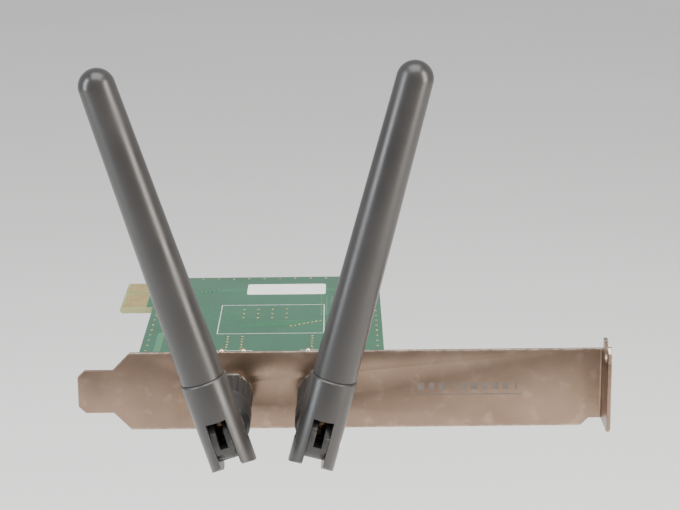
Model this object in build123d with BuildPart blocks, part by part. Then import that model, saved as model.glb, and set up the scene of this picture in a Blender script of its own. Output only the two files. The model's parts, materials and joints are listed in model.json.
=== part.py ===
"""Desktop Wi-Fi adapter card: a slot bracket, a circuit board and two hinged stick antennas.

Frame: the origin is on the underside of the bracket's bent tab, level with the screw that clamps it and on the
bracket's centre line. +X points from the board's edge connector to the tab, +Y into the computer and +Z up, the
way the antennas stand. The board's component side faces down.
"""

import os
from math import cos, radians, sin, sqrt

from build123d import *

os.makedirs("parts", exist_ok=True)

# ---------------------------------------------------------------- driving dimensions, millimetres and degrees

# Slot bracket, sheet steel
BRACKET_LENGTH = 120.02  # tongue tip to the top of the bent tab
BRACKET_WIDTH = 18.42
SHEET = 0.86
TONGUE_WIDTH = 10.16
TONGUE_LENGTH = 8.0
TONGUE_SHOULDER = 4.0  # length of the slope from the tongue to the full width
TONGUE_CORNER = 1.6
TAB_DEPTH = 11.43  # free edge to the back of the bracket
TAB_LOW = -7.4
TAB_HIGH = 12.38
TAB_CORNER = 1.2
SCREW_LINE = 6.35  # bracket's outer face to the clamping screw
NOTCH_WIDTH = 4.42
NOTCH_CENTRE = 10.16  # height of the screw above the bracket's centre line
BEND_INSIDE = 0.45
EAR_RELIEF = 1.5  # gap from the tab's overhanging ear to the bracket's outer face

# Circuit board
BOARD_THICKNESS = 1.57
BOARD_FACE = 4.8  # component side, above the jack axes
BOARD_GAP = 0.6  # behind the bracket
BOARD_DEPTH = 70.0
BOARD_HEIGHT = 56.75
BOARD_CORNER = 1.5
FINGER_FROM_TIP = 5.0  # bracket's tongue tip to the edge connector's edge
FINGER_HEIGHT = 8.25
KEY_BEHIND = 57.15  # bracket's back face to the middle of the key notch
KEY_WIDTH = 1.9
KEY_DEPTH = 7.6
FIRST_FINGER = 11.65
SECOND_FINGER = 7.65
FINGER_BEVEL = 0.5
CONTACT_PITCH = 1.0
CONTACT_WIDTH = 0.7
CONTACT_LENGTH = 5.4
CONTACT_START = 0.9  # from the connector's edge
CONTACT_THICKNESS = 0.05
FIRST_CONTACTS = 11
SECOND_CONTACTS = 7

# Shield over the radio
SHIELD_SIZE = (24.0, 22.0)
SHIELD_PLACE = (30.0, 33.0)  # across and back from the board's corner
SHIELD_HEIGHT = 2.2
SHIELD_WALL = 0.3
SHIELD_CORNER = 1.2
LID_SHEET = 0.2
LID_SKIRT = 1.3
LID_SLACK = 0.05
VENT_HOLE = 1.3
VENT_PITCH = 3.2
VENT_COLUMNS = 3
VENT_ROWS = 2
VENT_OFFSET = (-5.0, -6.5)
CHIP_SIZE = 9.0
CHIP_HEIGHT = 0.9
CHIP_OFFSET = (1.5, 3.5)  # from the shield's middle
PAD_SIZE = 8.0
CHIP_BEVEL = 0.1
PAD_CORNER = 0.5
AMPLIFIER_SIZE = (3.0, 3.0, 0.75)
AMPLIFIER_SPREAD = 12.0
AMPLIFIER_OFFSET = -7.0
CRYSTAL_SIZE = (2.5, 3.2, 0.7)
CRYSTAL_CORNER = 0.4
CRYSTAL_OFFSET = (-7.5, 4.0)

# Other parts on the board: places across and back from the board's corner, sizes across, back and high
CASE_BEVEL = 0.2
LEG_OVERLAP = 0.4  # a leg's root in its case, and as much of its toe again
MEMORY_PLACE = (31.0, 54.0)
MEMORY_BODY = (4.9, 3.9, 1.5)
MEMORY_LEG = (0.42, 1.0, 0.2)
MEMORY_LEG_PITCH = 1.27
REGULATOR_PLACE = (10.5, 34.0)
REGULATOR_BODY = (6.5, 3.5, 1.6)
REGULATOR_LEG = (0.7, 1.75, 0.25)
REGULATOR_LEG_PITCH = 2.3
REGULATOR_TAB = 3.0
INDUCTOR_PLACE = (11.0, 44.5)
INDUCTOR_SIZE = (5.0, 5.0, 2.4)
INDUCTOR_CORNER = 1.0
INDUCTOR_BEVEL = 0.3
TANTALUM_PLACES = [(20.5, 50.0), (20.5, 54.5)]
TANTALUM_SIZE = (3.5, 2.8, 1.9)
CERAMIC_SIZE = (1.6, 0.8, 0.8)
CERAMIC_ROWS = [12.0, 14.6, 17.2]  # rows behind each jack
CERAMIC_PLACES = [(4.0, 46.0), (4.0, 48.4), (4.0, 50.8), (4.0, 53.2)]
CERAMIC_PLACES += [(26.0, 50.0), (26.0, 52.4), (16.5, 34.0), (16.5, 36.4)]
RESISTOR_SIZE = (0.8, 1.6, 0.45)
RESISTOR_PLACE = (37.0, 50.0)  # the first of them
RESISTOR_PITCH = (1.7, 3.0)
RESISTOR_COLUMNS = 4
RESISTOR_ROWS = 2

# Right-angle antenna jacks
LEFT_JACK_FROM_TIP = 35.0
JACK_PITCH = 20.0
THREAD = 6.35  # outside of the jack's threaded barrel
BARREL_OUT = 11.4  # barrel's end in front of the bracket
HOLE_SLACK = 0.075
JACK_BLOCK = (8.0, 9.0)  # across and back
JACK_BLOCK_BELOW = 3.8
JACK_SOCKET_DEPTH = 2.0
INSULATOR = 4.1
JACK_PIN = 0.9
JACK_PIN_OUT = 11.9
LEG = 1.1
LEG_SPREAD = 2.54
LEG_HOLE_SLACK = 0.1
LEG_PROUD = 1.0
TAIL_INSULATOR = 2.2
WASHER_THICKNESS = 0.5
WASHER_RING = 1.25  # ring's width outside its hole
WASHER_TEETH = 10
WASHER_GAP = 0.9  # between the teeth
NUT_FLATS = 8.0
NUT_THICKNESS = 2.0
NUT_BEVEL = 0.3
BARREL_BEVEL = 0.3
PIN_BEVEL = 0.2
THREAD_SLACK = 0.05

# Coupling that screws the antenna on
COUPLING_START = 3.2  # in front of the bracket
NUT_RECESS = 0.2
COUPLING_NUT_WALL = 0.775
SLEEVE_WALL = 1.0
SLEEVE_LIP = 0.6
GASKET_THICKNESS = 0.5
RING_THICKNESS = 0.5
RING_BITE = 0.25  # ring's grip in the plug's groove
RING_SPREAD = 0.45  # ring's reach into the nut's groove
RING_GAP = 0.8
RING_LAND = 0.6  # metal each side of the ring's grooves
SLEEVE_BEVEL = 0.4
SLEEVE_RIM = 1.2  # plain band at each end of the flutes
SLEEVE_FLUTES = 20
FLUTE_RADIUS = 0.5
FLUTE_DEPTH = 0.3
LIP_SLACK = 0.15

# Plug
PLUG = 4.5
PLUG_BORE = 3.0
CONTACT = 1.3
RUNNING = 0.05  # radial gap of parts that turn on each other
PIN_RUNNING = 0.03
END_GAP = 0.1
SOCKET_SPARE = 0.5  # contact's hole past the jack pin's tip

# Elbow
ELBOW = 10.4
ELBOW_GAP = 0.2
HINGE_OUT = 30.0  # hinge axis in front of the bracket
PLUG_SEAT = 3.4  # plug's length held in the elbow
TONGUE_THICKNESS = 4.2
TONGUE_INSET = 0.5
CHEEK_REACH = 1.5  # fork's cheeks past its radius, round the hinge
CHEEK_SWEEP_GAP = 0.3
ELBOW_BEVEL = 0.7
LEAD = 1.4
LEAD_SLOT = 1.8
LEAD_BREAK = 3.0  # the lead's two straight runs end this far from the hinge axis
HINGE_PIN = 3.0
PIN_SUNK = 0.4

# Rod
LEFT_LEAN = 17.5
RIGHT_LEAN = 15.0
ROD_LENGTH = 83.5  # hinge axis to the tip
FORK = 10.0
FORK_TOP = 14.0
CHEEK_GAP = 0.1
CROTCH_GAP = 0.5
SPIGOT_LENGTH = 6.0
SHELL_FOOT = 9.4
SHELL_TOP = 7.7
SHELL_WALL = 0.9
SHELL_STEP = 0.1
RADIATOR_START = 30.0
RADIATOR_LENGTH = 24.0
RADIATOR = 4.6
RADIATOR_WALL = 0.3
WHIP = 0.8
WHIP_TIP_GAP = 3.6

# ---------------------------------------------------------------- places that follow from them

tip_x = SHEET - BRACKET_LENGTH
outer_y = SCREW_LINE
inner_y = SCREW_LINE + SHEET
board_x = tip_x + FINGER_FROM_TIP + FINGER_HEIGHT
board_y = inner_y + BOARD_GAP
board_top = BOARD_FACE + BOARD_THICKNESS
finger_x = tip_x + FINGER_FROM_TIP
key_y = inner_y + KEY_BEHIND
left_jack_x = tip_x + LEFT_JACK_FROM_TIP
right_jack_x = left_jack_x + JACK_PITCH
jack_places = [(left_jack_x, 0), (right_jack_x, 0)]
bracket_face = Plane(origin=(0, outer_y, 0), x_dir=(1, 0, 0), z_dir=(0, -1, 0))  # its z runs outwards
under_board = Plane.XY.offset(BOARD_FACE)


def on_board(across, back):
    """The place, in X and Y, of a point given from the board's corner beside the bracket's tongue."""
    return (board_x + across, board_y + back)


def save(piece, name):
    """Name a finished piece and write its file."""
    piece.part.label = name
    export_step(piece.part, f"parts/{name}.step")


# ---------------------------------------------------------------- bracket

tab_edge_y = inner_y - TAB_DEPTH
with BuildPart() as bracket:
    with BuildSketch(bracket_face.offset(EAR_RELIEF)):
        half, tongue = BRACKET_WIDTH / 2, TONGUE_WIDTH / 2
        shoulder_x = tip_x + TONGUE_LENGTH
        full_x = shoulder_x + TONGUE_SHOULDER
        foot = half + TAB_LOW
        with BuildLine():
            Polyline(
                (tip_x, -tongue),
                (shoulder_x, -tongue),
                (full_x, -half),
                (SHEET - 3 * foot, -half),
                (SHEET - 2 * foot, TAB_LOW),
                (SHEET, TAB_LOW),
                (SHEET, half),
                (full_x, half),
                (shoulder_x, tongue),
                (tip_x, tongue),
                close=True,
            )
        make_face()
        chamfer(vertices().group_by(Axis.X)[0], TONGUE_CORNER)
    extrude(amount=-(EAR_RELIEF + SHEET))
    with BuildSketch(Plane.YZ):
        with BuildLine():
            Polyline(
                (tab_edge_y, TAB_LOW),
                (inner_y, TAB_LOW),
                (inner_y, half),
                (outer_y - EAR_RELIEF, half),
                (outer_y - EAR_RELIEF, TAB_HIGH),
                (tab_edge_y, TAB_HIGH),
                close=True,
            )
        make_face()
        chamfer(vertices().group_by(Axis.Y)[0], TAB_CORNER)
    extrude(amount=SHEET)
    with BuildSketch(Plane.XY):
        with BuildLine():
            Polyline(
                (tip_x, outer_y),
                (0, outer_y),
                (0, tab_edge_y),
                (SHEET, tab_edge_y),
                (SHEET, inner_y),
                (tip_x, inner_y),
                close=True,
            )
        make_face()
        fillet(vertices().sort_by_distance((0, outer_y, 0))[0], BEND_INSIDE)
        fillet(vertices().sort_by_distance((SHEET, inner_y, 0))[0], BEND_INSIDE + SHEET)
    extrude(amount=BRACKET_WIDTH, both=True, mode=Mode.INTERSECT)
    with BuildSketch(Plane.YZ):
        with Locations((0, NOTCH_CENTRE)):
            Circle(NOTCH_WIDTH / 2)
            Rectangle(NOTCH_WIDTH, 2 * TAB_DEPTH, align=(Align.CENTER, Align.MIN))
    extrude(amount=SHEET, mode=Mode.SUBTRACT)
    with BuildSketch(bracket_face):
        with Locations(*jack_places):
            Circle(THREAD / 2 + HOLE_SLACK)
    extrude(amount=-SHEET, mode=Mode.SUBTRACT)
save(bracket, "bracket")

# ---------------------------------------------------------------- circuit board

finger_ends = [
    (key_y - KEY_WIDTH / 2 - FIRST_FINGER, key_y - KEY_WIDTH / 2),
    (key_y + KEY_WIDTH / 2, key_y + KEY_WIDTH / 2 + SECOND_FINGER),
]
jack_middle_y = inner_y + JACK_BLOCK[1] / 2
leg_places = [
    (x + across * LEG_SPREAD, jack_middle_y + back * LEG_SPREAD)
    for x, _ in jack_places
    for across in (-1, 1)
    for back in (-1, 1)
]
tail_places = [(x, jack_middle_y) for x, _ in jack_places]
with BuildPart() as circuit_board:
    with BuildSketch(under_board):
        with Locations((board_x, board_y)):
            Rectangle(BOARD_HEIGHT, BOARD_DEPTH, align=(Align.MIN, Align.MIN))
        fillet(vertices(), BOARD_CORNER)
        with Locations((finger_x, finger_ends[0][0])):
            finger_span = finger_ends[1][1] - finger_ends[0][0]
            Rectangle(FINGER_HEIGHT + BOARD_CORNER, finger_span, align=(Align.MIN, Align.MIN))
        with Locations((finger_x, key_y)):
            key_straight = KEY_DEPTH - KEY_WIDTH / 2
            Rectangle(key_straight, KEY_WIDTH, align=(Align.MIN, Align.CENTER), mode=Mode.SUBTRACT)
        with Locations((finger_x + key_straight, key_y)):
            Circle(KEY_WIDTH / 2, mode=Mode.SUBTRACT)
        with Locations(*leg_places):
            Circle(LEG / 2 + LEG_HOLE_SLACK, mode=Mode.SUBTRACT)
        with Locations(*tail_places):
            Circle(JACK_PIN / 2 + LEG_HOLE_SLACK, mode=Mode.SUBTRACT)
    extrude(amount=BOARD_THICKNESS)
    connector_edges = edges().filter_by(Axis.Y).filter_by_position(Axis.X, finger_x, finger_x)
    chamfer(connector_edges, FINGER_BEVEL)
save(circuit_board, "circuit_board")

first_row = finger_ends[0][1] - (FIRST_FINGER - (FIRST_CONTACTS - 1) * CONTACT_PITCH) / 2
second_row = finger_ends[1][0] + (SECOND_FINGER - (SECOND_CONTACTS - 1) * CONTACT_PITCH) / 2
contact_rows = [first_row - i * CONTACT_PITCH for i in range(FIRST_CONTACTS)]
contact_rows += [second_row + i * CONTACT_PITCH for i in range(SECOND_CONTACTS)]
with BuildPart() as edge_contacts:
    for height, side in ((BOARD_FACE, -1), (board_top, 1)):
        with BuildSketch(Plane.XY.offset(height)):
            with Locations(*[(finger_x + CONTACT_START, y) for y in contact_rows]):
                Rectangle(CONTACT_LENGTH, CONTACT_WIDTH, align=(Align.MIN, Align.CENTER))
        extrude(amount=side * CONTACT_THICKNESS)
save(edge_contacts, "edge_contacts")

# ---------------------------------------------------------------- shield and the radio under it

shield_place = on_board(*SHIELD_PLACE)
lid_inside = BOARD_FACE - SHIELD_HEIGHT
with BuildPart() as shield_frame:
    with BuildSketch(under_board):
        with Locations(shield_place):
            RectangleRounded(*SHIELD_SIZE, SHIELD_CORNER)
            inner_size = [side - 2 * SHIELD_WALL for side in SHIELD_SIZE]
            RectangleRounded(*inner_size, SHIELD_CORNER - SHIELD_WALL, mode=Mode.SUBTRACT)
    extrude(amount=-SHIELD_HEIGHT)
save(shield_frame, "shield_frame")

with BuildPart() as shield_lid:
    skirt_grow = LID_SLACK + LID_SHEET
    with BuildSketch(Plane.XY.offset(lid_inside)):
        with Locations(shield_place):
            RectangleRounded(*[side + 2 * skirt_grow for side in SHIELD_SIZE], SHIELD_CORNER + skirt_grow)
    extrude(amount=-LID_SHEET)
    with BuildSketch(Plane.XY.offset(lid_inside)):
        with Locations(shield_place):
            RectangleRounded(*[side + 2 * skirt_grow for side in SHIELD_SIZE], SHIELD_CORNER + skirt_grow)
            cavity = [side + 2 * LID_SLACK for side in SHIELD_SIZE]
            RectangleRounded(*cavity, SHIELD_CORNER + LID_SLACK, mode=Mode.SUBTRACT)
    extrude(amount=LID_SKIRT)
    vent_middle = (shield_place[0] + VENT_OFFSET[0], shield_place[1] + VENT_OFFSET[1])
    with BuildSketch(Plane.XY.offset(lid_inside)):
        with Locations(vent_middle):
            with GridLocations(VENT_PITCH, VENT_PITCH, VENT_COLUMNS, VENT_ROWS):
                Circle(VENT_HOLE / 2)
    extrude(amount=-LID_SHEET, mode=Mode.SUBTRACT)
save(shield_lid, "shield_lid")

chip_place = (shield_place[0] + CHIP_OFFSET[0], shield_place[1] + CHIP_OFFSET[1])
with BuildPart() as wifi_chip:
    with BuildSketch(under_board):
        with Locations(chip_place):
            Rectangle(CHIP_SIZE, CHIP_SIZE)
    extrude(amount=-CHIP_HEIGHT)
    chamfer(faces().sort_by(Axis.Z)[0].edges(), CHIP_BEVEL)
save(wifi_chip, "wifi_chip")

with BuildPart() as thermal_pad:
    with BuildSketch(Plane.XY.offset(BOARD_FACE - CHIP_HEIGHT)):
        with Locations(chip_place):
            RectangleRounded(PAD_SIZE, PAD_SIZE, PAD_CORNER)
    extrude(amount=-(SHIELD_HEIGHT - CHIP_HEIGHT))
save(thermal_pad, "thermal_pad")

with BuildPart() as amplifier_chips:
    with BuildSketch(under_board):
        with Locations((shield_place[0], shield_place[1] + AMPLIFIER_OFFSET)):
            with GridLocations(AMPLIFIER_SPREAD, 1, 2, 1):
                Rectangle(AMPLIFIER_SIZE[0], AMPLIFIER_SIZE[1])
    extrude(amount=-AMPLIFIER_SIZE[2])
save(amplifier_chips, "amplifier_chips")

with BuildPart() as crystal:
    with BuildSketch(under_board):
        with Locations((shield_place[0] + CRYSTAL_OFFSET[0], shield_place[1] + CRYSTAL_OFFSET[1])):
            RectangleRounded(CRYSTAL_SIZE[0], CRYSTAL_SIZE[1], CRYSTAL_CORNER)
    extrude(amount=-CRYSTAL_SIZE[2])
save(crystal, "crystal")

# ---------------------------------------------------------------- other parts on the board's underside

with BuildPart() as memory_chip:
    with BuildSketch(Plane.XY.offset(BOARD_FACE - MEMORY_LEG[2] / 2)):
        with Locations(on_board(*MEMORY_PLACE)):
            Rectangle(MEMORY_BODY[0], MEMORY_BODY[1])
    extrude(amount=-MEMORY_BODY[2])
    chamfer(faces().sort_by(Axis.Z)[0].edges(), CASE_BEVEL)
    with BuildSketch(under_board):
        with Locations(on_board(*MEMORY_PLACE)):
            with GridLocations(MEMORY_LEG_PITCH, MEMORY_BODY[1] + MEMORY_LEG[1], 4, 2):
                Rectangle(MEMORY_LEG[0], MEMORY_LEG[1] + LEG_OVERLAP)
    extrude(amount=-MEMORY_LEG[2])
save(memory_chip, "memory_chip")

with BuildPart() as voltage_regulator:
    with BuildSketch(Plane.XY.offset(BOARD_FACE - REGULATOR_LEG[2] / 2)):
        with Locations(on_board(*REGULATOR_PLACE)):
            Rectangle(REGULATOR_BODY[0], REGULATOR_BODY[1])
    extrude(amount=-REGULATOR_BODY[2])
    chamfer(faces().sort_by(Axis.Z)[0].edges(), CASE_BEVEL)
    middle = on_board(*REGULATOR_PLACE)
    leg_reach = (REGULATOR_BODY[1] + REGULATOR_LEG[1]) / 2
    with BuildSketch(under_board):
        with Locations((middle[0], middle[1] - leg_reach)):
            with GridLocations(REGULATOR_LEG_PITCH, 1, 3, 1):
                Rectangle(REGULATOR_LEG[0], REGULATOR_LEG[1] + LEG_OVERLAP)
        with Locations((middle[0], middle[1] + leg_reach)):
            Rectangle(REGULATOR_TAB, REGULATOR_LEG[1] + LEG_OVERLAP)
    extrude(amount=-REGULATOR_LEG[2])
save(voltage_regulator, "voltage_regulator")

with BuildPart() as power_inductor:
    with BuildSketch(under_board):
        with Locations(on_board(*INDUCTOR_PLACE)):
            RectangleRounded(INDUCTOR_SIZE[0], INDUCTOR_SIZE[1], INDUCTOR_CORNER)
    extrude(amount=-INDUCTOR_SIZE[2])
    chamfer(faces().sort_by(Axis.Z)[0].edges(), INDUCTOR_BEVEL)
save(power_inductor, "power_inductor")

with BuildPart() as tantalum_capacitors:
    with BuildSketch(under_board):
        with Locations(*[on_board(*place) for place in TANTALUM_PLACES]):
            Rectangle(TANTALUM_SIZE[0], TANTALUM_SIZE[1])
    extrude(amount=-TANTALUM_SIZE[2])
    chamfer(faces().group_by(Axis.Z)[0].edges(), CASE_BEVEL)
save(tantalum_capacitors, "tantalum_capacitors")

ceramic_places = [(x - board_x, row) for x, _ in jack_places for row in CERAMIC_ROWS] + CERAMIC_PLACES
with BuildPart() as ceramic_capacitors:
    with BuildSketch(under_board):
        with Locations(*[on_board(*place) for place in ceramic_places]):
            Rectangle(CERAMIC_SIZE[0], CERAMIC_SIZE[1])
    extrude(amount=-CERAMIC_SIZE[2])
save(ceramic_capacitors, "ceramic_capacitors")

resistor_places = [
    (RESISTOR_PLACE[0] + RESISTOR_PITCH[0] * column, RESISTOR_PLACE[1] + RESISTOR_PITCH[1] * row)
    for column in range(RESISTOR_COLUMNS)
    for row in range(RESISTOR_ROWS)
]
with BuildPart() as resistors:
    with BuildSketch(under_board):
        with Locations(*[on_board(*place) for place in resistor_places]):
            Rectangle(RESISTOR_SIZE[0], RESISTOR_SIZE[1])
    extrude(amount=-RESISTOR_SIZE[2])
save(resistors, "resistors")

# ---------------------------------------------------------------- nuts and washers that clamp the bracket

washer_hole = THREAD / 2 + HOLE_SLACK
washer_edge = washer_hole + WASHER_RING
with BuildPart() as lock_washers:
    with BuildSketch(bracket_face):
        with Locations(*jack_places):
            Circle(washer_edge)
            Circle(washer_hole, mode=Mode.SUBTRACT)
            with PolarLocations(washer_hole, WASHER_TEETH):
                Rectangle(WASHER_RING, WASHER_GAP, mode=Mode.SUBTRACT)
    extrude(amount=WASHER_THICKNESS)
save(lock_washers, "lock_washers")

nut_plane = bracket_face.offset(WASHER_THICKNESS)
with BuildPart() as jack_nuts:
    with BuildSketch(nut_plane):
        with Locations(*jack_places):
            Circle(NUT_FLATS / sqrt(3))
    extrude(amount=NUT_THICKNESS)
    chamfer(faces().group_by(Axis.Y)[0].edges(), NUT_BEVEL, 2 * NUT_BEVEL)
    with BuildSketch(nut_plane):
        with Locations(*jack_places):
            RegularPolygon(NUT_FLATS / 2, 6, major_radius=False)
    extrude(amount=NUT_THICKNESS, mode=Mode.INTERSECT)
    with BuildSketch(nut_plane):
        with Locations(*jack_places):
            Circle(THREAD / 2 + THREAD_SLACK)
    extrude(amount=NUT_THICKNESS, mode=Mode.SUBTRACT)
save(jack_nuts, "jack_nuts")

# ---------------------------------------------------------------- distances out along a jack, from the bracket's face

socket_floor = BARREL_OUT - JACK_SOCKET_DEPTH
tail_out = -(SHEET + JACK_BLOCK[1] / 2)
insulator_back = tail_out - TAIL_INSULATOR / 2
nut_start = COUPLING_START + NUT_RECESS
gasket_out = BARREL_OUT + RUNNING
nut_shoulder = gasket_out + GASKET_THICKNESS
groove_out = nut_shoulder + RING_LAND
groove_length = RING_THICKNESS + 2 * RUNNING
nut_end = groove_out + groove_length + RING_LAND
sleeve_end = nut_end + SLEEVE_LIP
elbow_start = sleeve_end + ELBOW_GAP
plug_start = socket_floor + END_GAP
plug_end = elbow_start + PLUG_SEAT

# Radii that pieces share
thread_bore = THREAD / 2 + THREAD_SLACK
nut_radius = thread_bore + COUPLING_NUT_WALL
sleeve_radius = nut_radius + SLEEVE_WALL
plug_passage = PLUG / 2 + RUNNING
ring_inside = PLUG / 2 - RING_BITE
ring_outside = PLUG / 2 + RING_SPREAD
tongue_radius = ELBOW / 2 - TONGUE_INSET
cheek_radius = FORK / 2 + CHEEK_REACH
elbow_shoulder = cheek_radius + CHEEK_SWEEP_GAP
slot_half = TONGUE_THICKNESS / 2 + CHEEK_GAP
crotch = tongue_radius + CROTCH_GAP
socket_radius = SHELL_FOOT / 2 - SHELL_WALL
shell_end = ROD_LENGTH - SHELL_TOP / 2
radiator_end = RADIATOR_START + RADIATOR_LENGTH


def make_jack(side, jack_x, jack_axis):
    """One right-angle jack: its body with the threaded barrel and the legs, its insulator and its centre pin."""
    block_back = jack_axis.offset(-SHEET)
    tail_place = (jack_x, jack_middle_y)
    with BuildPart() as jack_body:
        with BuildSketch(block_back):
            with Locations((0, BOARD_FACE)):
                block_height = BOARD_FACE + JACK_BLOCK_BELOW
                Rectangle(JACK_BLOCK[0], block_height, align=(Align.CENTER, Align.MAX))
        extrude(amount=-JACK_BLOCK[1])
        with BuildSketch(block_back):
            Circle(THREAD / 2)
        extrude(amount=SHEET + BARREL_OUT)
        chamfer(faces().sort_by(Axis.Y)[0].edges(), BARREL_BEVEL)
        with BuildSketch(jack_axis.offset(BARREL_OUT)):
            Circle(plug_passage)
        extrude(amount=-JACK_SOCKET_DEPTH, mode=Mode.SUBTRACT)
        with BuildSketch(jack_axis.offset(socket_floor)):
            Circle(INSULATOR / 2)
        extrude(amount=insulator_back - socket_floor, mode=Mode.SUBTRACT)
        with BuildSketch(Plane.XY):
            with Locations(tail_place):
                Circle(TAIL_INSULATOR / 2)
        extrude(amount=BOARD_FACE, mode=Mode.SUBTRACT)
        with BuildSketch(under_board):
            with Locations(tail_place):
                with GridLocations(2 * LEG_SPREAD, 2 * LEG_SPREAD, 2, 2):
                    Circle(LEG / 2)
        extrude(amount=BOARD_THICKNESS + LEG_PROUD)
    save(jack_body, f"{side}_jack_body")

    with BuildPart() as jack_pin:
        with BuildSketch(jack_axis.offset(tail_out - JACK_PIN / 2)):
            Circle(JACK_PIN / 2)
        extrude(amount=JACK_PIN_OUT - tail_out + JACK_PIN / 2)
        chamfer(faces().sort_by(Axis.Y)[0].edges(), PIN_BEVEL)
        with BuildSketch(Plane.XY):
            with Locations(tail_place):
                Circle(JACK_PIN / 2)
        extrude(amount=board_top + LEG_PROUD)
    save(jack_pin, f"{side}_jack_pin")

    with BuildPart() as jack_insulator:
        with BuildSketch(jack_axis.offset(socket_floor)):
            Circle(INSULATOR / 2)
        extrude(amount=insulator_back - socket_floor)
        with BuildSketch(Plane.XY):
            with Locations(tail_place):
                Circle(TAIL_INSULATOR / 2)
        extrude(amount=BOARD_FACE)
        with BuildSketch(jack_axis.offset(tail_out - JACK_PIN / 2)):
            Circle(JACK_PIN / 2)
        extrude(amount=socket_floor - tail_out + JACK_PIN / 2, mode=Mode.SUBTRACT)
        with BuildSketch(Plane.XY):
            with Locations(tail_place):
                Circle(JACK_PIN / 2)
        extrude(amount=BOARD_FACE, mode=Mode.SUBTRACT)
    save(jack_insulator, f"{side}_jack_insulator")


def make_coupling(side, jack_axis):
    """What turns to screw the antenna on: the grip sleeve, the nut pressed in it, the retaining ring and the gasket."""
    with BuildPart() as grip_sleeve:
        with BuildSketch(jack_axis.offset(COUPLING_START)):
            Circle(sleeve_radius)
        extrude(amount=sleeve_end - COUPLING_START)
        chamfer(edges().filter_by(GeomType.CIRCLE), SLEEVE_BEVEL)
        with BuildSketch(jack_axis.offset(COUPLING_START + SLEEVE_RIM)):
            with PolarLocations(sleeve_radius + FLUTE_RADIUS - FLUTE_DEPTH, SLEEVE_FLUTES):
                Circle(FLUTE_RADIUS)
        extrude(amount=sleeve_end - COUPLING_START - 2 * SLEEVE_RIM, mode=Mode.SUBTRACT)
        with BuildSketch(jack_axis.offset(COUPLING_START)):
            Circle(nut_radius)
        extrude(amount=nut_end - COUPLING_START, mode=Mode.SUBTRACT)
        with BuildSketch(jack_axis.offset(nut_end)):
            Circle(plug_passage + LIP_SLACK)
        extrude(amount=SLEEVE_LIP, mode=Mode.SUBTRACT)
    save(grip_sleeve, f"{side}_grip_sleeve")

    with BuildPart() as coupling_nut:
        with BuildSketch(jack_axis.offset(nut_start)):
            Circle(nut_radius)
            Circle(thread_bore, mode=Mode.SUBTRACT)
        extrude(amount=nut_shoulder - nut_start)
        with BuildSketch(jack_axis.offset(nut_shoulder)):
            Circle(nut_radius)
            Circle(plug_passage, mode=Mode.SUBTRACT)
        extrude(amount=nut_end - nut_shoulder)
        with BuildSketch(jack_axis.offset(groove_out)):
            Circle(ring_outside + RUNNING)
        extrude(amount=groove_length, mode=Mode.SUBTRACT)
    save(coupling_nut, f"{side}_coupling_nut")

    with BuildPart() as retaining_ring:
        with BuildSketch(jack_axis.offset(groove_out + RUNNING)):
            Circle(ring_outside)
            Circle(ring_inside, mode=Mode.SUBTRACT)
            Rectangle(2 * ring_outside, RING_GAP, align=(Align.MIN, Align.CENTER), mode=Mode.SUBTRACT)
        extrude(amount=RING_THICKNESS)
    save(retaining_ring, f"{side}_retaining_ring")

    with BuildPart() as plug_gasket:
        with BuildSketch(jack_axis.offset(gasket_out)):
            Circle(thread_bore)
            Circle(plug_passage, mode=Mode.SUBTRACT)
        extrude(amount=GASKET_THICKNESS)
    save(plug_gasket, f"{side}_plug_gasket")


def make_plug(side, jack_axis):
    """The plug in the elbow's foot: its body, its insulator and its contact."""
    with BuildPart() as plug_body:
        with BuildSketch(jack_axis.offset(plug_start)):
            Circle(PLUG / 2)
            Circle(PLUG_BORE / 2, mode=Mode.SUBTRACT)
        extrude(amount=plug_end - plug_start)
        with BuildSketch(jack_axis.offset(groove_out)):
            Circle(PLUG / 2)
            Circle(ring_inside - RUNNING, mode=Mode.SUBTRACT)
        extrude(amount=groove_length, mode=Mode.SUBTRACT)
    save(plug_body, f"{side}_plug_body")

    with BuildPart() as plug_insulator:
        with BuildSketch(jack_axis.offset(plug_start + END_GAP)):
            Circle(PLUG_BORE / 2)
            Circle(CONTACT / 2, mode=Mode.SUBTRACT)
        extrude(amount=plug_end - plug_start - 2 * END_GAP)
    save(plug_insulator, f"{side}_plug_insulator")

    with BuildPart() as plug_contact:
        with BuildSketch(jack_axis.offset(plug_start + END_GAP)):
            Circle(CONTACT / 2)
        extrude(amount=plug_end - plug_start - END_GAP)
        with BuildSketch(jack_axis.offset(plug_start + END_GAP)):
            Circle(JACK_PIN / 2 + PIN_RUNNING)
        extrude(amount=JACK_PIN_OUT + SOCKET_SPARE - plug_start, mode=Mode.SUBTRACT)
    save(plug_contact, f"{side}_plug_contact")


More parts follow.
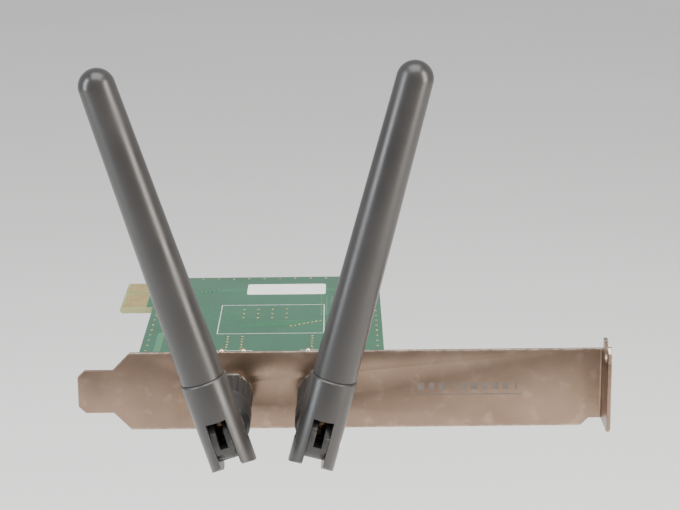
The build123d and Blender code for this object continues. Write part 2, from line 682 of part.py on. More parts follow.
def make_elbow(side, elbow_base, hinge_side):
    """The hinge base: a collar with a slotted tongue, the lead in it and the two short pins the rod turns on."""
    collar_end = HINGE_OUT - elbow_start
    lead_foot = HINGE_OUT - plug_end
    with BuildPart() as elbow:
        with BuildSketch(elbow_base.offset(elbow_shoulder)):
            Circle(ELBOW / 2)
        extrude(amount=collar_end - elbow_shoulder)
        chamfer(edges().filter_by(GeomType.CIRCLE), ELBOW_BEVEL)
        with BuildSketch(hinge_side):
            Circle(tongue_radius)
            tongue_size = (elbow_shoulder + 2 * ELBOW_BEVEL, 2 * tongue_radius)
            Rectangle(*tongue_size, align=(Align.MIN, Align.CENTER))
        extrude(amount=TONGUE_THICKNESS / 2, both=True)
        with BuildSketch(hinge_side):
            with Locations((elbow_shoulder, -LEAD_SLOT / 2)):
                Rectangle(3 * tongue_radius, 2 * tongue_radius, align=(Align.MAX, Align.MIN))
        extrude(amount=LEAD_SLOT / 2, both=True, mode=Mode.SUBTRACT)
        with BuildSketch(elbow_base.offset(elbow_shoulder)):
            Circle(LEAD_SLOT / 2)
        extrude(amount=collar_end - elbow_shoulder, mode=Mode.SUBTRACT)
        with BuildSketch(elbow_base.offset(lead_foot)):
            Circle(PLUG / 2)
        extrude(amount=PLUG_SEAT, mode=Mode.SUBTRACT)
        with BuildSketch(hinge_side):
            Circle(HINGE_PIN / 2)
        extrude(amount=TONGUE_THICKNESS, both=True, mode=Mode.SUBTRACT)
    save(elbow, f"{side}_elbow")

    with BuildPart() as elbow_lead:
        with BuildSketch(elbow_base.offset(lead_foot)):
            Circle(LEAD / 2)
        extrude(amount=LEAD_BREAK - lead_foot)
    save(elbow_lead, f"{side}_elbow_lead")

    with BuildPart() as hinge_pins:
        for way in (-1, 1):
            with BuildSketch(hinge_side.offset(way * LEAD_SLOT / 2)):
                Circle(HINGE_PIN / 2)
            extrude(amount=way * (FORK / 2 - PIN_SUNK - LEAD_SLOT / 2))
    save(hinge_pins, f"{side}_hinge_pins")


def make_rod(side, rod_base, rod_section, hinge_side, rod_axis):
    """The rod: the fork that turns on the elbow's tongue, the hollow shell, and the aerial inside it."""
    with BuildPart() as rod_fork:
        with BuildSketch(rod_base.offset(-cheek_radius)):
            Circle(FORK / 2)
        extrude(amount=cheek_radius + FORK_TOP)
        chamfer(faces().sort_by(Axis.Z)[-1].edges(), (FORK - SHELL_FOOT) / 2)
        with BuildSketch(hinge_side):
            Circle(cheek_radius)
            Rectangle(FORK, FORK_TOP, align=(Align.CENTER, Align.MIN))
        extrude(amount=FORK, both=True, mode=Mode.INTERSECT)
        with BuildSketch(rod_base.offset(-cheek_radius)):
            Rectangle(2 * slot_half, 2 * FORK)
        extrude(amount=cheek_radius + crotch, mode=Mode.SUBTRACT)
        with BuildSketch(hinge_side):
            Circle(HINGE_PIN / 2 + RUNNING)
        extrude(amount=FORK, both=True, mode=Mode.SUBTRACT)
        with BuildSketch(rod_base.offset(FORK_TOP)):
            Circle(socket_radius)
        extrude(amount=SPIGOT_LENGTH)
        with BuildSketch(rod_base.offset(crotch)):
            Circle(LEAD_SLOT / 2)
        extrude(amount=FORK_TOP + SPIGOT_LENGTH - crotch, mode=Mode.SUBTRACT)
    save(rod_fork, f"{side}_rod_fork")

    with BuildPart() as rod_shell:
        with BuildSketch(rod_section):
            foot, top = SHELL_FOOT / 2, SHELL_TOP / 2
            bore = top - SHELL_WALL
            shelf = FORK_TOP + SPIGOT_LENGTH
            dome = sin(radians(45))
            with BuildLine():
                Polyline((socket_radius, FORK_TOP), (foot, FORK_TOP), (top, shell_end))
                ThreePointArc((top, shell_end), (top * dome, shell_end + top * dome), (0, ROD_LENGTH))
                Line((0, ROD_LENGTH), (0, shell_end + bore))
                ThreePointArc((0, shell_end + bore), (bore * dome, shell_end + bore * dome), (bore, shell_end))
                Polyline(
                    (bore, shell_end),
                    (socket_radius - SHELL_STEP, shelf),
                    (socket_radius, shelf),
                    (socket_radius, FORK_TOP),
                )
            make_face()
        revolve(axis=rod_axis)
    save(rod_shell, f"{side}_rod_shell")

    with BuildPart() as radiator_sleeve:
        with BuildSketch(rod_base.offset(RADIATOR_START)):
            Circle(RADIATOR / 2)
            Circle(RADIATOR / 2 - RADIATOR_WALL, mode=Mode.SUBTRACT)
        extrude(amount=RADIATOR_LENGTH)
        with BuildSketch(rod_base.offset(radiator_end)):
            Circle(RADIATOR / 2)
            Circle(LEAD / 2, mode=Mode.SUBTRACT)
        extrude(amount=-RADIATOR_WALL)
    save(radiator_sleeve, f"{side}_radiator_sleeve")

    with BuildPart() as rod_lead:
        with BuildSketch(rod_base.offset(LEAD_BREAK)):
            Circle(LEAD / 2)
        extrude(amount=radiator_end - LEAD_BREAK)
    save(rod_lead, f"{side}_rod_lead")

    with BuildPart() as whip_wire:
        with BuildSketch(rod_base.offset(radiator_end)):
            Circle(WHIP / 2)
        extrude(amount=ROD_LENGTH - SHELL_WALL - WHIP_TIP_GAP - radiator_end)
    save(whip_wire, f"{side}_whip_wire")


for side, jack_x, lean in (("left", left_jack_x, LEFT_LEAN), ("right", right_jack_x, -RIGHT_LEAN)):
    turn = radians(lean)
    hinge = (jack_x, outer_y - HINGE_OUT, 0)
    along_pin = (cos(turn), 0, sin(turn))
    along_rod = (-sin(turn), 0, cos(turn))
    jack_axis = Plane(origin=(jack_x, outer_y, 0), x_dir=(1, 0, 0), z_dir=(0, -1, 0))
    elbow_base = Plane(origin=hinge, x_dir=along_pin, z_dir=(0, 1, 0))
    hinge_side = Plane(origin=hinge, x_dir=(0, 1, 0), z_dir=along_pin)
    rod_base = Plane(origin=hinge, x_dir=along_pin, z_dir=along_rod)
    rod_section = Plane(origin=hinge, x_dir=along_pin, z_dir=(0, -1, 0))
    make_jack(side, jack_x, jack_axis)
    make_coupling(side, jack_axis)
    make_plug(side, jack_axis)
    make_elbow(side, elbow_base, hinge_side)
    make_rod(side, rod_base, rod_section, hinge_side, Axis(hinge, along_rod))
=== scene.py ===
"""Looks of the desktop Wi-Fi adapter card: slot bracket, circuit board and two hinged stick antennas.

Pieces are modelled in millimetres at the world's origin, standing on Z, and are then set down at their place
in metres. A jack's own frame has Z straight out of the bracket. An antenna's frame is the same, turned so
that Y points the way its rod leans. A rod's frame has Z along the rod, from the hinge.
"""

import json
from math import atan2, cos, degrees, pi, radians, sin, sqrt

import bpy
from mathutils import Matrix, Vector


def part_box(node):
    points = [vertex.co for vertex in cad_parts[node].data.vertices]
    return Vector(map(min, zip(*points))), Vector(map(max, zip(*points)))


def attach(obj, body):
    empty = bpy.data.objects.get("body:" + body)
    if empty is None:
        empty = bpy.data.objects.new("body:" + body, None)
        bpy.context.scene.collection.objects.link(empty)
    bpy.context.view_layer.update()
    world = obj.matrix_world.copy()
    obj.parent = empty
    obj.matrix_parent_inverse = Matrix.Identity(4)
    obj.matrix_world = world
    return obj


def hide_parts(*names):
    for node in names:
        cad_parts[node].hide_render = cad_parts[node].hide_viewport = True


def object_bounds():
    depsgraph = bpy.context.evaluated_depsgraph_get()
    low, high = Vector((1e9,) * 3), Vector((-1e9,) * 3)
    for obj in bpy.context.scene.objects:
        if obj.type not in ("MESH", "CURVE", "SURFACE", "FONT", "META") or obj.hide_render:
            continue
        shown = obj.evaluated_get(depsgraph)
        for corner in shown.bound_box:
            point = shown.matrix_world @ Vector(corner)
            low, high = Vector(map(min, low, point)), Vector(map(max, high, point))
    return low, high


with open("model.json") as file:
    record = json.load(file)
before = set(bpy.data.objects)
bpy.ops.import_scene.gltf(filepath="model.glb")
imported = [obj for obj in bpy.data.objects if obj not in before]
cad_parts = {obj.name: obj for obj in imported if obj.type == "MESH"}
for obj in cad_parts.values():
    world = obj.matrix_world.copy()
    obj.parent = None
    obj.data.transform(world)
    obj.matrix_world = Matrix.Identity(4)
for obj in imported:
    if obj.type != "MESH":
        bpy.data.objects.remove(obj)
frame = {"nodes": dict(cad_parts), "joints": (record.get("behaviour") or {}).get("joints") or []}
cad_low, cad_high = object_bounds()
bpy.ops.object.select_all(action="DESELECT")

MM = 0.001
SIDES = ("left", "right")
RING = 96  # points round a turned piece
joints = {joint["name"]: joint for joint in frame["joints"]}


# ---- places, from the frame

def frame_at(origin, across, along):
    """A place to set a piece down: its X points across and its Z along."""
    across, along = Vector(across), Vector(along)
    up = along.cross(across)
    return Matrix.Translation(origin) @ Matrix((across, up, along)).transposed().to_4x4()


OUTWARDS = Vector((0, -1, 0))
hinge, jack_frame, antenna_frame, rod_frame = {}, {}, {}, {}
for side in SIDES:
    jack = Vector(joints[f"{side}_coupling_turn"]["pos_m"])
    hinge[side] = Vector(joints[f"{side}_tilt"]["pos_m"])
    pin_axis = Vector(joints[f"{side}_tilt"]["axis"])
    jack_frame[side] = frame_at(jack, (1, 0, 0), OUTWARDS)
    antenna_frame[side] = frame_at(jack, pin_axis, OUTWARDS)
    rod_frame[side] = frame_at(hinge[side], pin_axis, OUTWARDS.cross(pin_axis))
CARD = Matrix.Identity(4)

bracket_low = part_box("bracket")[0] / MM
board_low, board_high = (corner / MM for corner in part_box("circuit_board"))
face_y = jack.y / MM  # the bracket's outer face
jack_x = {side: hinge[side].x / MM for side in SIDES}
hinge_out = face_y - hinge["left"].y / MM


def reach(node, axis):
    """How far a node's box reaches along an axis, low and high, in millimetres."""
    low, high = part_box(node)
    return low[axis] / MM, high[axis] / MM


def out_from_bracket(node):
    """A node's near and far distance in front of the bracket's outer face."""
    low, high = reach(node, 1)
    return face_y - high, face_y - low


# ---- bench: small modelling steps

NO_DISTANCE = 0.001  # points nearer than this to a plane lie on it
WELD = 0.002  # points nearer than this are one


def only(piece):
    """Select one piece and nothing else."""
    bpy.ops.object.select_all(action="DESELECT")
    piece.select_set(True)
    bpy.context.view_layer.objects.active = piece


def settle(piece):
    """Write a piece's place, turn and size into its mesh."""
    only(piece)
    bpy.ops.object.transform_apply(location=True, rotation=True, scale=True)
    return piece


def newest(name):
    """The piece that the last step made, under its name."""
    piece = bpy.context.active_object
    piece.name = name
    return piece


def edit(piece, action="SELECT"):
    only(piece)
    bpy.ops.object.mode_set(mode="EDIT")
    bpy.ops.mesh.select_mode(type="VERT")
    bpy.ops.mesh.select_all(action=action)


def leave():
    bpy.ops.object.mode_set(mode="OBJECT")


def leave_closed():
    """Turn every face outwards and leave edit mode."""
    bpy.ops.mesh.select_all(action="SELECT")
    bpy.ops.mesh.normals_make_consistent(inside=False)
    leave()


def push_out(shift):
    """Draw what is selected out by a shift."""
    bpy.ops.mesh.extrude_region_move(TRANSFORM_OT_translate={"value": shift})


def pick_points(piece, wanted):
    """Edit a piece with the points selected whose place answers true."""
    edit(piece, "DESELECT")
    leave()
    for point in piece.data.vertices:
        point.select = wanted(point.co)
    bpy.ops.object.mode_set(mode="EDIT")


def round_edges(piece, wanted, width, segments):
    """Round the edges whose two ends answer true."""
    edit(piece, "DESELECT")
    bpy.ops.mesh.select_mode(type="EDGE")
    leave()
    for edge in piece.data.edges:
        edge.select = wanted(*(piece.data.vertices[i].co for i in edge.vertices))
    bpy.ops.object.mode_set(mode="EDIT")
    bpy.ops.mesh.bevel(offset=width, segments=segments)
    leave()


def arc(centre, radius, start, end, steps):
    """Points of an arc about (radius, height) centre, with the end points."""
    angles = [radians(start + (end - start) * i / steps) for i in range(steps + 1)]
    return [(centre[0] + radius * cos(a), centre[1] + radius * sin(a)) for a in angles]


def turn(name, outline, points=RING, closed=False):
    """A piece turned about Z from its half outline of (radius, height). Closed joins its end to its start."""
    radius, height = outline[0]
    bpy.ops.mesh.primitive_circle_add(vertices=points, radius=radius, location=(0, 0, height))
    piece = newest(name)
    edit(piece)
    for (r0, h0), (r1, h1) in zip(outline, outline[1:]):
        push_out((0, 0, h1 - h0))
        bpy.ops.transform.resize(value=(r1 / r0, r1 / r0, 1), center_override=(0, 0, 0))
    bpy.ops.mesh.select_all(action="DESELECT")
    bpy.ops.mesh.select_non_manifold()
    if closed:
        bpy.ops.mesh.bridge_edge_loops()
    else:
        bpy.ops.mesh.fill_holes(sides=0)
    leave_closed()
    return settle(piece)


def block(name, size, centre, rounding=0.0, segments=3):
    """A box with its upright corners rounded."""
    bpy.ops.mesh.primitive_cube_add(size=1, location=centre)
    piece = newest(name)
    piece.scale = size
    settle(piece)
    if rounding:
        round_edges(piece, lambda a, b: abs(a.z - b.z) > size[2] / 2, rounding, segments)
    return piece


def stadium(name, radius, rise, thickness, points=RING):
    """A plate across X: a half disc about the origin, with straight sides that rise to a round top."""
    bpy.ops.mesh.primitive_circle_add(vertices=points, radius=radius, rotation=(0, pi / 2, 0))
    piece = settle(newest(name))
    pick_points(piece, lambda co: co.z > NO_DISTANCE)
    bpy.ops.transform.translate(value=(0, 0, rise))
    bpy.ops.mesh.select_all(action="SELECT")
    bpy.ops.mesh.edge_face_add()
    bpy.ops.transform.translate(value=(-thickness / 2, 0, 0))
    push_out((thickness, 0, 0))
    leave_closed()
    return piece


def strip(name, size, path, facing=(pi / 2, 0, 0)):
    """A flat strip drawn through the places of a path. Its cross section faces along Y, or as it is told."""
    bpy.ops.mesh.primitive_plane_add(size=1, location=path[0], rotation=facing)
    piece = newest(name)
    piece.scale = (*size, 1)
    edit(settle(piece))
    for here, there in zip(path, path[1:]):
        push_out([b - a for a, b in zip(here, there)])
    leave_closed()
    return piece


def rod(name, radius, start, end, points=RING):
    """A plain round cutter or core along Z."""
    return turn(name, [(radius, start), (radius, end)], points)


def swing(piece, angle, axis):
    """Turn a whole piece about a world axis through the origin, by degrees."""
    piece.matrix_world = Matrix.Rotation(radians(angle), 4, axis) @ piece.matrix_world
    return settle(piece)


def lift(piece, shift):
    """Move a whole piece by a shift."""
    piece.matrix_world = Matrix.Translation(shift) @ piece.matrix_world
    return settle(piece)


def carve(piece, tool, how="DIFFERENCE"):
    """Cut the tool out of the piece, or join it on, or keep what they share."""
    only(piece)
    step = piece.modifiers.new("carve", "BOOLEAN")
    step.operation = how
    step.object = tool
    step.solver = "EXACT"
    bpy.ops.object.modifier_apply(modifier=step.name)
    bpy.data.objects.remove(tool, do_unlink=True)
    return piece


def clean(piece):
    """Merge points that cuts have left on top of each other, and drop edges that bound no face."""
    edit(piece)
    bpy.ops.mesh.remove_doubles(threshold=WELD)
    bpy.ops.mesh.dissolve_degenerate(threshold=WELD)
    bpy.ops.mesh.select_all(action="SELECT")
    bpy.ops.mesh.delete_loose()
    leave()


def soften(piece, width, segments=3, angle=30):
    """Round every edge sharper than the angle."""
    clean(piece)
    only(piece)
    step = piece.modifiers.new("soften", "BEVEL")
    step.width = width
    step.segments = segments
    step.limit_method = "ANGLE"
    step.angle_limit = radians(angle)
    bpy.ops.object.modifier_apply(modifier=step.name)
    clean(piece)
    return piece


def join(name, pieces):
    """Make one piece of several."""
    pieces[0].name = name
    if len(pieces) == 1:
        return pieces[0]
    bpy.ops.object.select_all(action="DESELECT")
    for piece in pieces:
        piece.select_set(True)
    bpy.context.view_layer.objects.active = pieces[0]
    bpy.ops.object.join()
    return pieces[0]


def copy_to(piece, name, shift=(0, 0, 0)):
    """A second one of the same shape, with its own mesh."""
    twin = piece.copy()
    twin.data = piece.data.copy()
    twin.name = name
    bpy.context.scene.collection.objects.link(twin)
    twin.matrix_world = Matrix.Translation(shift) @ piece.matrix_world
    return settle(twin)


def set_down(piece, place, finish, body, stands_for=(), smooth=35):
    """Bring a finished piece to its place in metres, paint it and hang it on its body."""
    piece.matrix_world = place @ Matrix.Scale(MM, 4) @ piece.matrix_world
    settle(piece)
    bpy.ops.object.shade_smooth_by_angle(angle=radians(smooth))
    piece.data.materials.clear()
    piece.data.materials.append(finish)
    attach(piece, body)
    if stands_for:
        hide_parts(*stands_for)
    return piece


# ---- paint shop: steps that the finishes share

LOW, HIGH = 0.3, 0.7  # the clouds' values run between these
DIELECTRIC_GLOSS = 0.5


def new_finish(name):
    finish = bpy.data.materials.new(name)
    finish.use_nodes = True
    tree = finish.node_tree
    return finish, tree, tree.nodes["Principled BSDF"].inputs


def surface_place(tree, stretch=(1, 1, 1)):
    """The place on the piece, stretched to draw a pattern out."""
    coordinates = tree.nodes.new("ShaderNodeTexCoord")
    mapping = tree.nodes.new("ShaderNodeMapping")
    mapping.inputs["Scale"].default_value = stretch
    tree.links.new(coordinates.outputs["Object"], mapping.inputs["Vector"])
    return mapping.outputs["Vector"]


def clouds(tree, size, detail=3.0, stretch=(1, 1, 1)):
    """Soft random blotches, about so many millimetres across."""
    noise = tree.nodes.new("ShaderNodeTexNoise")
    noise.inputs["Scale"].default_value = 1 / (size * MM)
    noise.inputs["Detail"].default_value = detail
    tree.links.new(surface_place(tree, stretch), noise.inputs["Vector"])
    return noise.outputs[0]


def spread(tree, value, start, end, low, high):
    """Map a value that runs from start to end on to low to high."""
    node = tree.nodes.new("ShaderNodeMapRange")
    node.inputs["From Min"].default_value = start
    node.inputs["From Max"].default_value = end
    node.inputs["To Min"].default_value = low
    node.inputs["To Max"].default_value = high
    tree.links.new(value, node.inputs["Value"])
    return node.outputs["Result"]


def math_step(tree, operation, *values):
    """One sum on values or plain numbers."""
    node = tree.nodes.new("ShaderNodeMath")
    node.operation = operation
    for socket, value in zip(node.inputs, values):
        if isinstance(value, (int, float)):
            socket.default_value = value
        else:
            tree.links.new(value, socket)
    return node.outputs["Value"]


def shades(tree, value, *stops):
    """Colours along a value: each stop is (place, (red, green, blue))."""
    ramp = tree.nodes.new("ShaderNodeValToRGB")
    elements = ramp.color_ramp.elements
    while len(elements) < len(stops):
        elements.new(0.5)
    for element, (place, colour) in zip(elements, stops):
        element.position = place
        element.color = (*colour, 1)
    tree.links.new(value, ramp.inputs["Fac"])
    return ramp.outputs["Color"]


def blend_colours(tree, share, first, second):
    mix = tree.nodes.new("ShaderNodeMix")
    mix.data_type = "RGBA"
    tree.links.new(share, mix.inputs["Factor"])
    colour_sockets = [socket for socket in mix.inputs if socket.type == "RGBA"]
    for socket, colour in zip(colour_sockets, (first, second)):
        if isinstance(colour, tuple):
            socket.default_value = (*colour, 1)
        else:
            tree.links.new(colour, socket)
    return next(socket for socket in mix.outputs if socket.type == "RGBA")


def relief(tree, inputs, *layers):
    """Small bumps, one layer on another: each is (height, strength, depth in millimetres)."""
    normal = None
    for height, strength, depth in layers:
        bump = tree.nodes.new("ShaderNodeBump")
        bump.inputs["Strength"].default_value = strength
        bump.inputs["Distance"].default_value = depth * MM
        tree.links.new(height, bump.inputs["Height"])
        if normal:
            tree.links.new(normal, bump.inputs["Normal"])
        normal = bump.outputs["Normal"]
    tree.links.new(normal, inputs["Normal"])


def moulded(name, dark, light, gloss, grain=0.12, grain_depth=0.006, patch=9.0, specular=DIELECTRIC_GLOSS):
    """Moulded plastic, rubber or ceramic: a fine spark-eroded grain, faint shading and handled patches."""
    finish, tree, inputs = new_finish(name)
    tree.links.new(shades(tree, clouds(tree, patch, 4), (LOW, dark), (HIGH, light)), inputs["Base Color"])
    tree.links.new(spread(tree, clouds(tree, patch / 2, 5), LOW, HIGH, *gloss), inputs["Roughness"])
    inputs["Specular IOR Level"].default_value = specular
    relief(tree, inputs, (clouds(tree, grain, 2), 0.35, grain_depth), (clouds(tree, patch / 3), 0.15, 0.02))
    return finish


def metal(name, dark, light, gloss, grain=0.2, stretch=(1, 1, 1), patch=6.0):
    """Bare or plated metal: grain drawn out along the way it was rolled or turned, and faint stains."""
    finish, tree, inputs = new_finish(name)
    inputs["Metallic"].default_value = 1.0
    tree.links.new(shades(tree, clouds(tree, patch, 5), (0.32, dark), (0.68, light)), inputs["Base Color"])
    tree.links.new(spread(tree, clouds(tree, patch / 2, 6), LOW, HIGH, *gloss), inputs["Roughness"])
    drawn = clouds(tree, grain, 3, stretch)
    relief(tree, inputs, (drawn, 0.3, 0.004), (clouds(tree, patch), 0.12, 0.03))
    return finish


# ---- finishes

antenna_plastic = moulded(
    "antenna_plastic",
    (0.018, 0.0165, 0.0155),
    (0.027, 0.0245, 0.023),
    (0.28, 0.42),
    grain=0.16,
    patch=20,
    specular=0.55,
)
black_plastic = moulded(
    "black_plastic", (0.012, 0.0115, 0.011), (0.019, 0.018, 0.017), (0.38, 0.5), grain=0.2
)
chip_epoxy = moulded(
    "chip_plastic", (0.016, 0.016, 0.018), (0.026, 0.026, 0.028), (0.5, 0.66), grain=0.1, patch=3
)
ferrite = moulded(
    "ferrite", (0.055, 0.055, 0.06), (0.085, 0.085, 0.09), (0.45, 0.7), grain=0.25, grain_depth=0.02
)
tantalum_case = moulded(
    "tantalum_case", (0.60, 0.38, 0.07), (0.70, 0.47, 0.11), (0.4, 0.55), grain=0.1, patch=2
)
capacitor_ceramic = moulded(
    "chip_ceramic", (0.30, 0.18, 0.10), (0.42, 0.28, 0.17), (0.35, 0.5), grain=0.08, patch=1
)
resistor_glaze = moulded(
    "chip_resistor", (0.015, 0.015, 0.018), (0.03, 0.03, 0.034), (0.2, 0.35), grain=0.1, patch=1
)
pad_silicone = moulded("silicone_pad", (0.26, 0.34, 0.40), (0.34, 0.43, 0.50), (0.6, 0.75), patch=3)
white_ptfe = moulded("ptfe", (0.80, 0.79, 0.76), (0.88, 0.87, 0.85), (0.35, 0.5), patch=2)
gasket_rubber = moulded("gasket_rubber", (0.22, 0.03, 0.02), (0.30, 0.05, 0.035), (0.5, 0.7), patch=2)
lead_jacket = moulded("lead_jacket", (0.22, 0.13, 0.06), (0.30, 0.19, 0.10), (0.25, 0.4), patch=2)
label_paper = moulded("label_paper", (0.74, 0.74, 0.72), (0.80, 0.80, 0.78), (0.45, 0.6), grain=0.3, patch=6)
white_print = moulded("white_print", (0.70, 0.70, 0.68), (0.80, 0.80, 0.78), (0.5, 0.65), grain=0.08, patch=2)
grey_print = moulded("grey_print", (0.075, 0.06, 0.05), (0.11, 0.09, 0.075), (0.5, 0.65), grain=0.08, patch=2)
nickel = metal("nickel_hardware", (0.60, 0.57, 0.52), (0.72, 0.69, 0.64), (0.16, 0.30), patch=3)
gold = metal("gold_plate", (0.78, 0.55, 0.20), (0.88, 0.66, 0.30), (0.18, 0.32), patch=3)
solder = metal("solder", (0.58, 0.58, 0.57), (0.76, 0.76, 0.75), (0.14, 0.34), patch=1.2)
brass = metal("brass_tube", (0.66, 0.44, 0.16), (0.76, 0.54, 0.24), (0.2, 0.38), patch=4)
copper = metal("copper_wire", (0.70, 0.32, 0.16), (0.82, 0.42, 0.24), (0.2, 0.35), patch=2)
tin = metal(
    "tin_plate",
    (0.60, 0.60, 0.58),
    (0.74, 0.74, 0.72),
    (0.26, 0.46),
    grain=0.35,
    stretch=(1, 0.12, 1),
    patch=5,
)


PLATE_HALF = 9.21  # the bracket's half width
RUBBED_BAND = (0.55, 0.05)  # from the bracket's edges, where the rubbing starts and where it is full


def nickel_in_painted_shade():
    """Plated sheet steel: rolling lines the long way, dull patches, a few scratches, edges rubbed bright. All
    its colours are painted shade, far darker and warmer than bare nickel, standing in for dim warm light and
    the dark room it reflects.
    """
    finish, tree, inputs = new_finish("plated_steel")
    inputs["Metallic"].default_value = 1.0
    # painted shade: all four colours are darkened and warmed to stand in for dim warm light and the dark room
    # that the plate reflects; the stains, smudges and rubbed edges are real marks, given in that shaded tone
    dull, warm = (0.205, 0.140, 0.101), (0.265, 0.187, 0.138)
    smudge, bare = (0.30, 0.218, 0.165), (0.44, 0.35, 0.28)
    stain = shades(tree, clouds(tree, 14, 6), (LOW, dull), (HIGH, warm))
    smudged = spread(tree, clouds(tree, 3.4, 6), 0.56, 0.72, 0.0, 0.8)
    patchy = blend_colours(tree, smudged, stain, smudge)
    place = tree.nodes.new("ShaderNodeSeparateXYZ")
    tree.links.new(surface_place(tree), place.inputs["Vector"])
    off_centre = math_step(tree, "ABSOLUTE", place.outputs["Z"])
    band = [(PLATE_HALF - inset) * MM for inset in RUBBED_BAND]
    near_edge = spread(tree, off_centre, *band, 0.0, 1.0)
    rubbed = math_step(tree, "MULTIPLY", near_edge, spread(tree, clouds(tree, 1.6, 4), 0.38, 0.6, 0.1, 0.9))
    tree.links.new(blend_colours(tree, rubbed, patchy, bare), inputs["Base Color"])
    tree.links.new(spread(tree, clouds(tree, 8, 7), 0.28, 0.72, 0.24, 0.42), inputs["Roughness"])
    rolled = clouds(tree, 0.5, 3, (0.04, 1, 1))
    scratches = spread(tree, clouds(tree, 2.6, 1, (0.05, 1, 1)), 0.655, 0.67, 0.0, 1.0)
    relief(tree, inputs, (rolled, 0.28, 0.006), (scratches, 0.25, 0.006), (clouds(tree, 18, 2), 0.3, 0.12))
    return finish


MASK_THICKNESS = 0.02
BARE_PAST_CONTACTS = 0.3


def solder_mask():
    """Green solder mask on both faces, with the bare laminate showing at the edges and round the contacts."""
    finish, tree, inputs = new_finish("circuit_board")
    place = tree.nodes.new("ShaderNodeSeparateXYZ")
    tree.links.new(surface_place(tree), place.inputs["Vector"])
    green = shades(tree, clouds(tree, 16, 4), (LOW, (0.012, 0.075, 0.036)), (HIGH, (0.017, 0.098, 0.048)))
    middle = (board_low.z + board_high.z) / 2 * MM
    half_thickness = (board_high.z - board_low.z) / 2
    between_masks = (half_thickness - MASK_THICKNESS) * MM
    at_edge = math_step(tree, "COMPARE", place.outputs["Z"], middle, between_masks)
    bare_from = (reach("edge_contacts", 0)[1] + BARE_PAST_CONTACTS) * MM
    beside_contacts = math_step(tree, "LESS_THAN", place.outputs["X"], bare_from)
    bare = math_step(tree, "MAXIMUM", at_edge, beside_contacts)
    fibres = clouds(tree, 0.7, 2, (1, 1, 6))
    laminate = shades(tree, fibres, (LOW, (0.20, 0.21, 0.09)), (HIGH, (0.30, 0.30, 0.15)))
    tree.links.new(blend_colours(tree, bare, green, laminate), inputs["Base Color"])
    tree.links.new(spread(tree, bare, 0, 1, 0.3, 0.55), inputs["Roughness"])
    inputs["Specular IOR Level"].default_value = 0.35
    weave_x, weave_y = clouds(tree, 0.45, 1, (1, 0.2, 1)), clouds(tree, 0.45, 1, (0.2, 1, 1))
    relief(tree, inputs, (weave_x, 0.12, 0.012), (weave_y, 0.12, 0.012), (clouds(tree, 12), 0.1, 0.05))
    return finish


def masked_copper():
    """Copper tracks under the mask: the same green, a little lighter and warmer."""
    finish, tree, inputs = new_finish("masked_copper")
    green = shades(tree, clouds(tree, 6, 4), (LOW, (0.028, 0.135, 0.060)), (HIGH, (0.036, 0.165, 0.075)))
    tree.links.new(green, inputs["Base Color"])
    tree.links.new(spread(tree, clouds(tree, 3, 3), LOW, HIGH, 0.2, 0.32), inputs["Roughness"])
    inputs["Specular IOR Level"].default_value = 0.4
    relief(tree, inputs, (clouds(tree, 0.4, 2), 0.15, 0.01))
    return finish


sheet_nickel_in_painted_shade = nickel_in_painted_shade()
board_green = solder_mask()
track_green = masked_copper()


def paint(finish, *nodes):
    """Give CAD nodes that stay as they are a finish."""
    for node in nodes:
        for holder in frame["nodes"][node].material_slots:
            holder.material = finish


paint(board_green, "circuit_board")
paint(gold, "edge_contacts")
paint(pad_silicone, "thermal_pad")
paint(nickel, "lock_washers")
paint(tin, "shield_frame", "crystal")
paint(chip_epoxy, "wifi_chip", "amplifier_chips")
for side in SIDES:
    paint(gold, f"{side}_jack_pin", f"{side}_plug_contact")
    paint(white_ptfe, f"{side}_jack_insulator", f"{side}_plug_insulator")
    paint(nickel, f"{side}_coupling_nut", f"{side}_retaining_ring", f"{side}_plug_body")
    paint(gasket_rubber, f"{side}_plug_gasket")
    paint(lead_jacket, f"{side}_elbow_lead", f"{side}_rod_lead")
    paint(brass, f"{side}_radiator_sleeve")
    paint(copper, f"{side}_whip_wire")


# ---- antenna rods

FORK_RADIUS = 5.0
FORK_TOP = 14.0
CHEEK_RADIUS = 6.5
SPIGOT_END = 20.0
SOCKET_RADIUS = 3.8
SHELL_FOOT = 4.7
SHELL_TOP = 3.85
SHELL_WALL = 0.9
ROD_LENGTH = 83.5
TONGUE_THICKNESS = 4.2
TONGUE_RADIUS = 4.7
CHEEK_GAP = 0.1
CROTCH = 5.2
PIN_RADIUS = 1.5
PIN_GAP = 0.05
PIN_SUNK = 0.4
LEAD_SLOT = 1.8
DOME_TOP = 89.4  # degrees: a dome's outline ends just beside its pole
FOOT_ROUND = 0.25  # the shell's foot, where it meets the fork
SOCKET_STEP = 0.1
SPIGOT_SLACK = 0.02
FORK_ROUND = 0.28
SEAM_HEIGHT = 0.035  # a mould's parting line, proud of the surface
SEAM_REACH = 0.01  # points nearer than this to the parting line are on it

ANTENNA_BODIES = {  # the frame, finish and slot of each of an antenna's bodies
    "rod": (rod_frame, antenna_plastic, "antenna_plastic"),
    "base": (antenna_frame, black_plastic, "black_plastic"),
    "coupling": (jack_frame, black_plastic, "black_plastic"),
}


def on_antenna(piece, side, body, node, smooth=35):
    """Set a piece of one antenna down in its body's frame, in place of its node."""
    frames, finish, slot = ANTENNA_BODIES[body]
    return set_down(piece, frames[side], finish, f"{side}_{body}", [f"{side}_{node}"], smooth)


def cross_hole(radius, length, height=0.0):
    """A round cutter across X at a height."""
    cutter = swing(rod("cross_hole", radius, -length / 2, length / 2, 64), 90, "Y")
    cutter.location.z = height
    return cutter


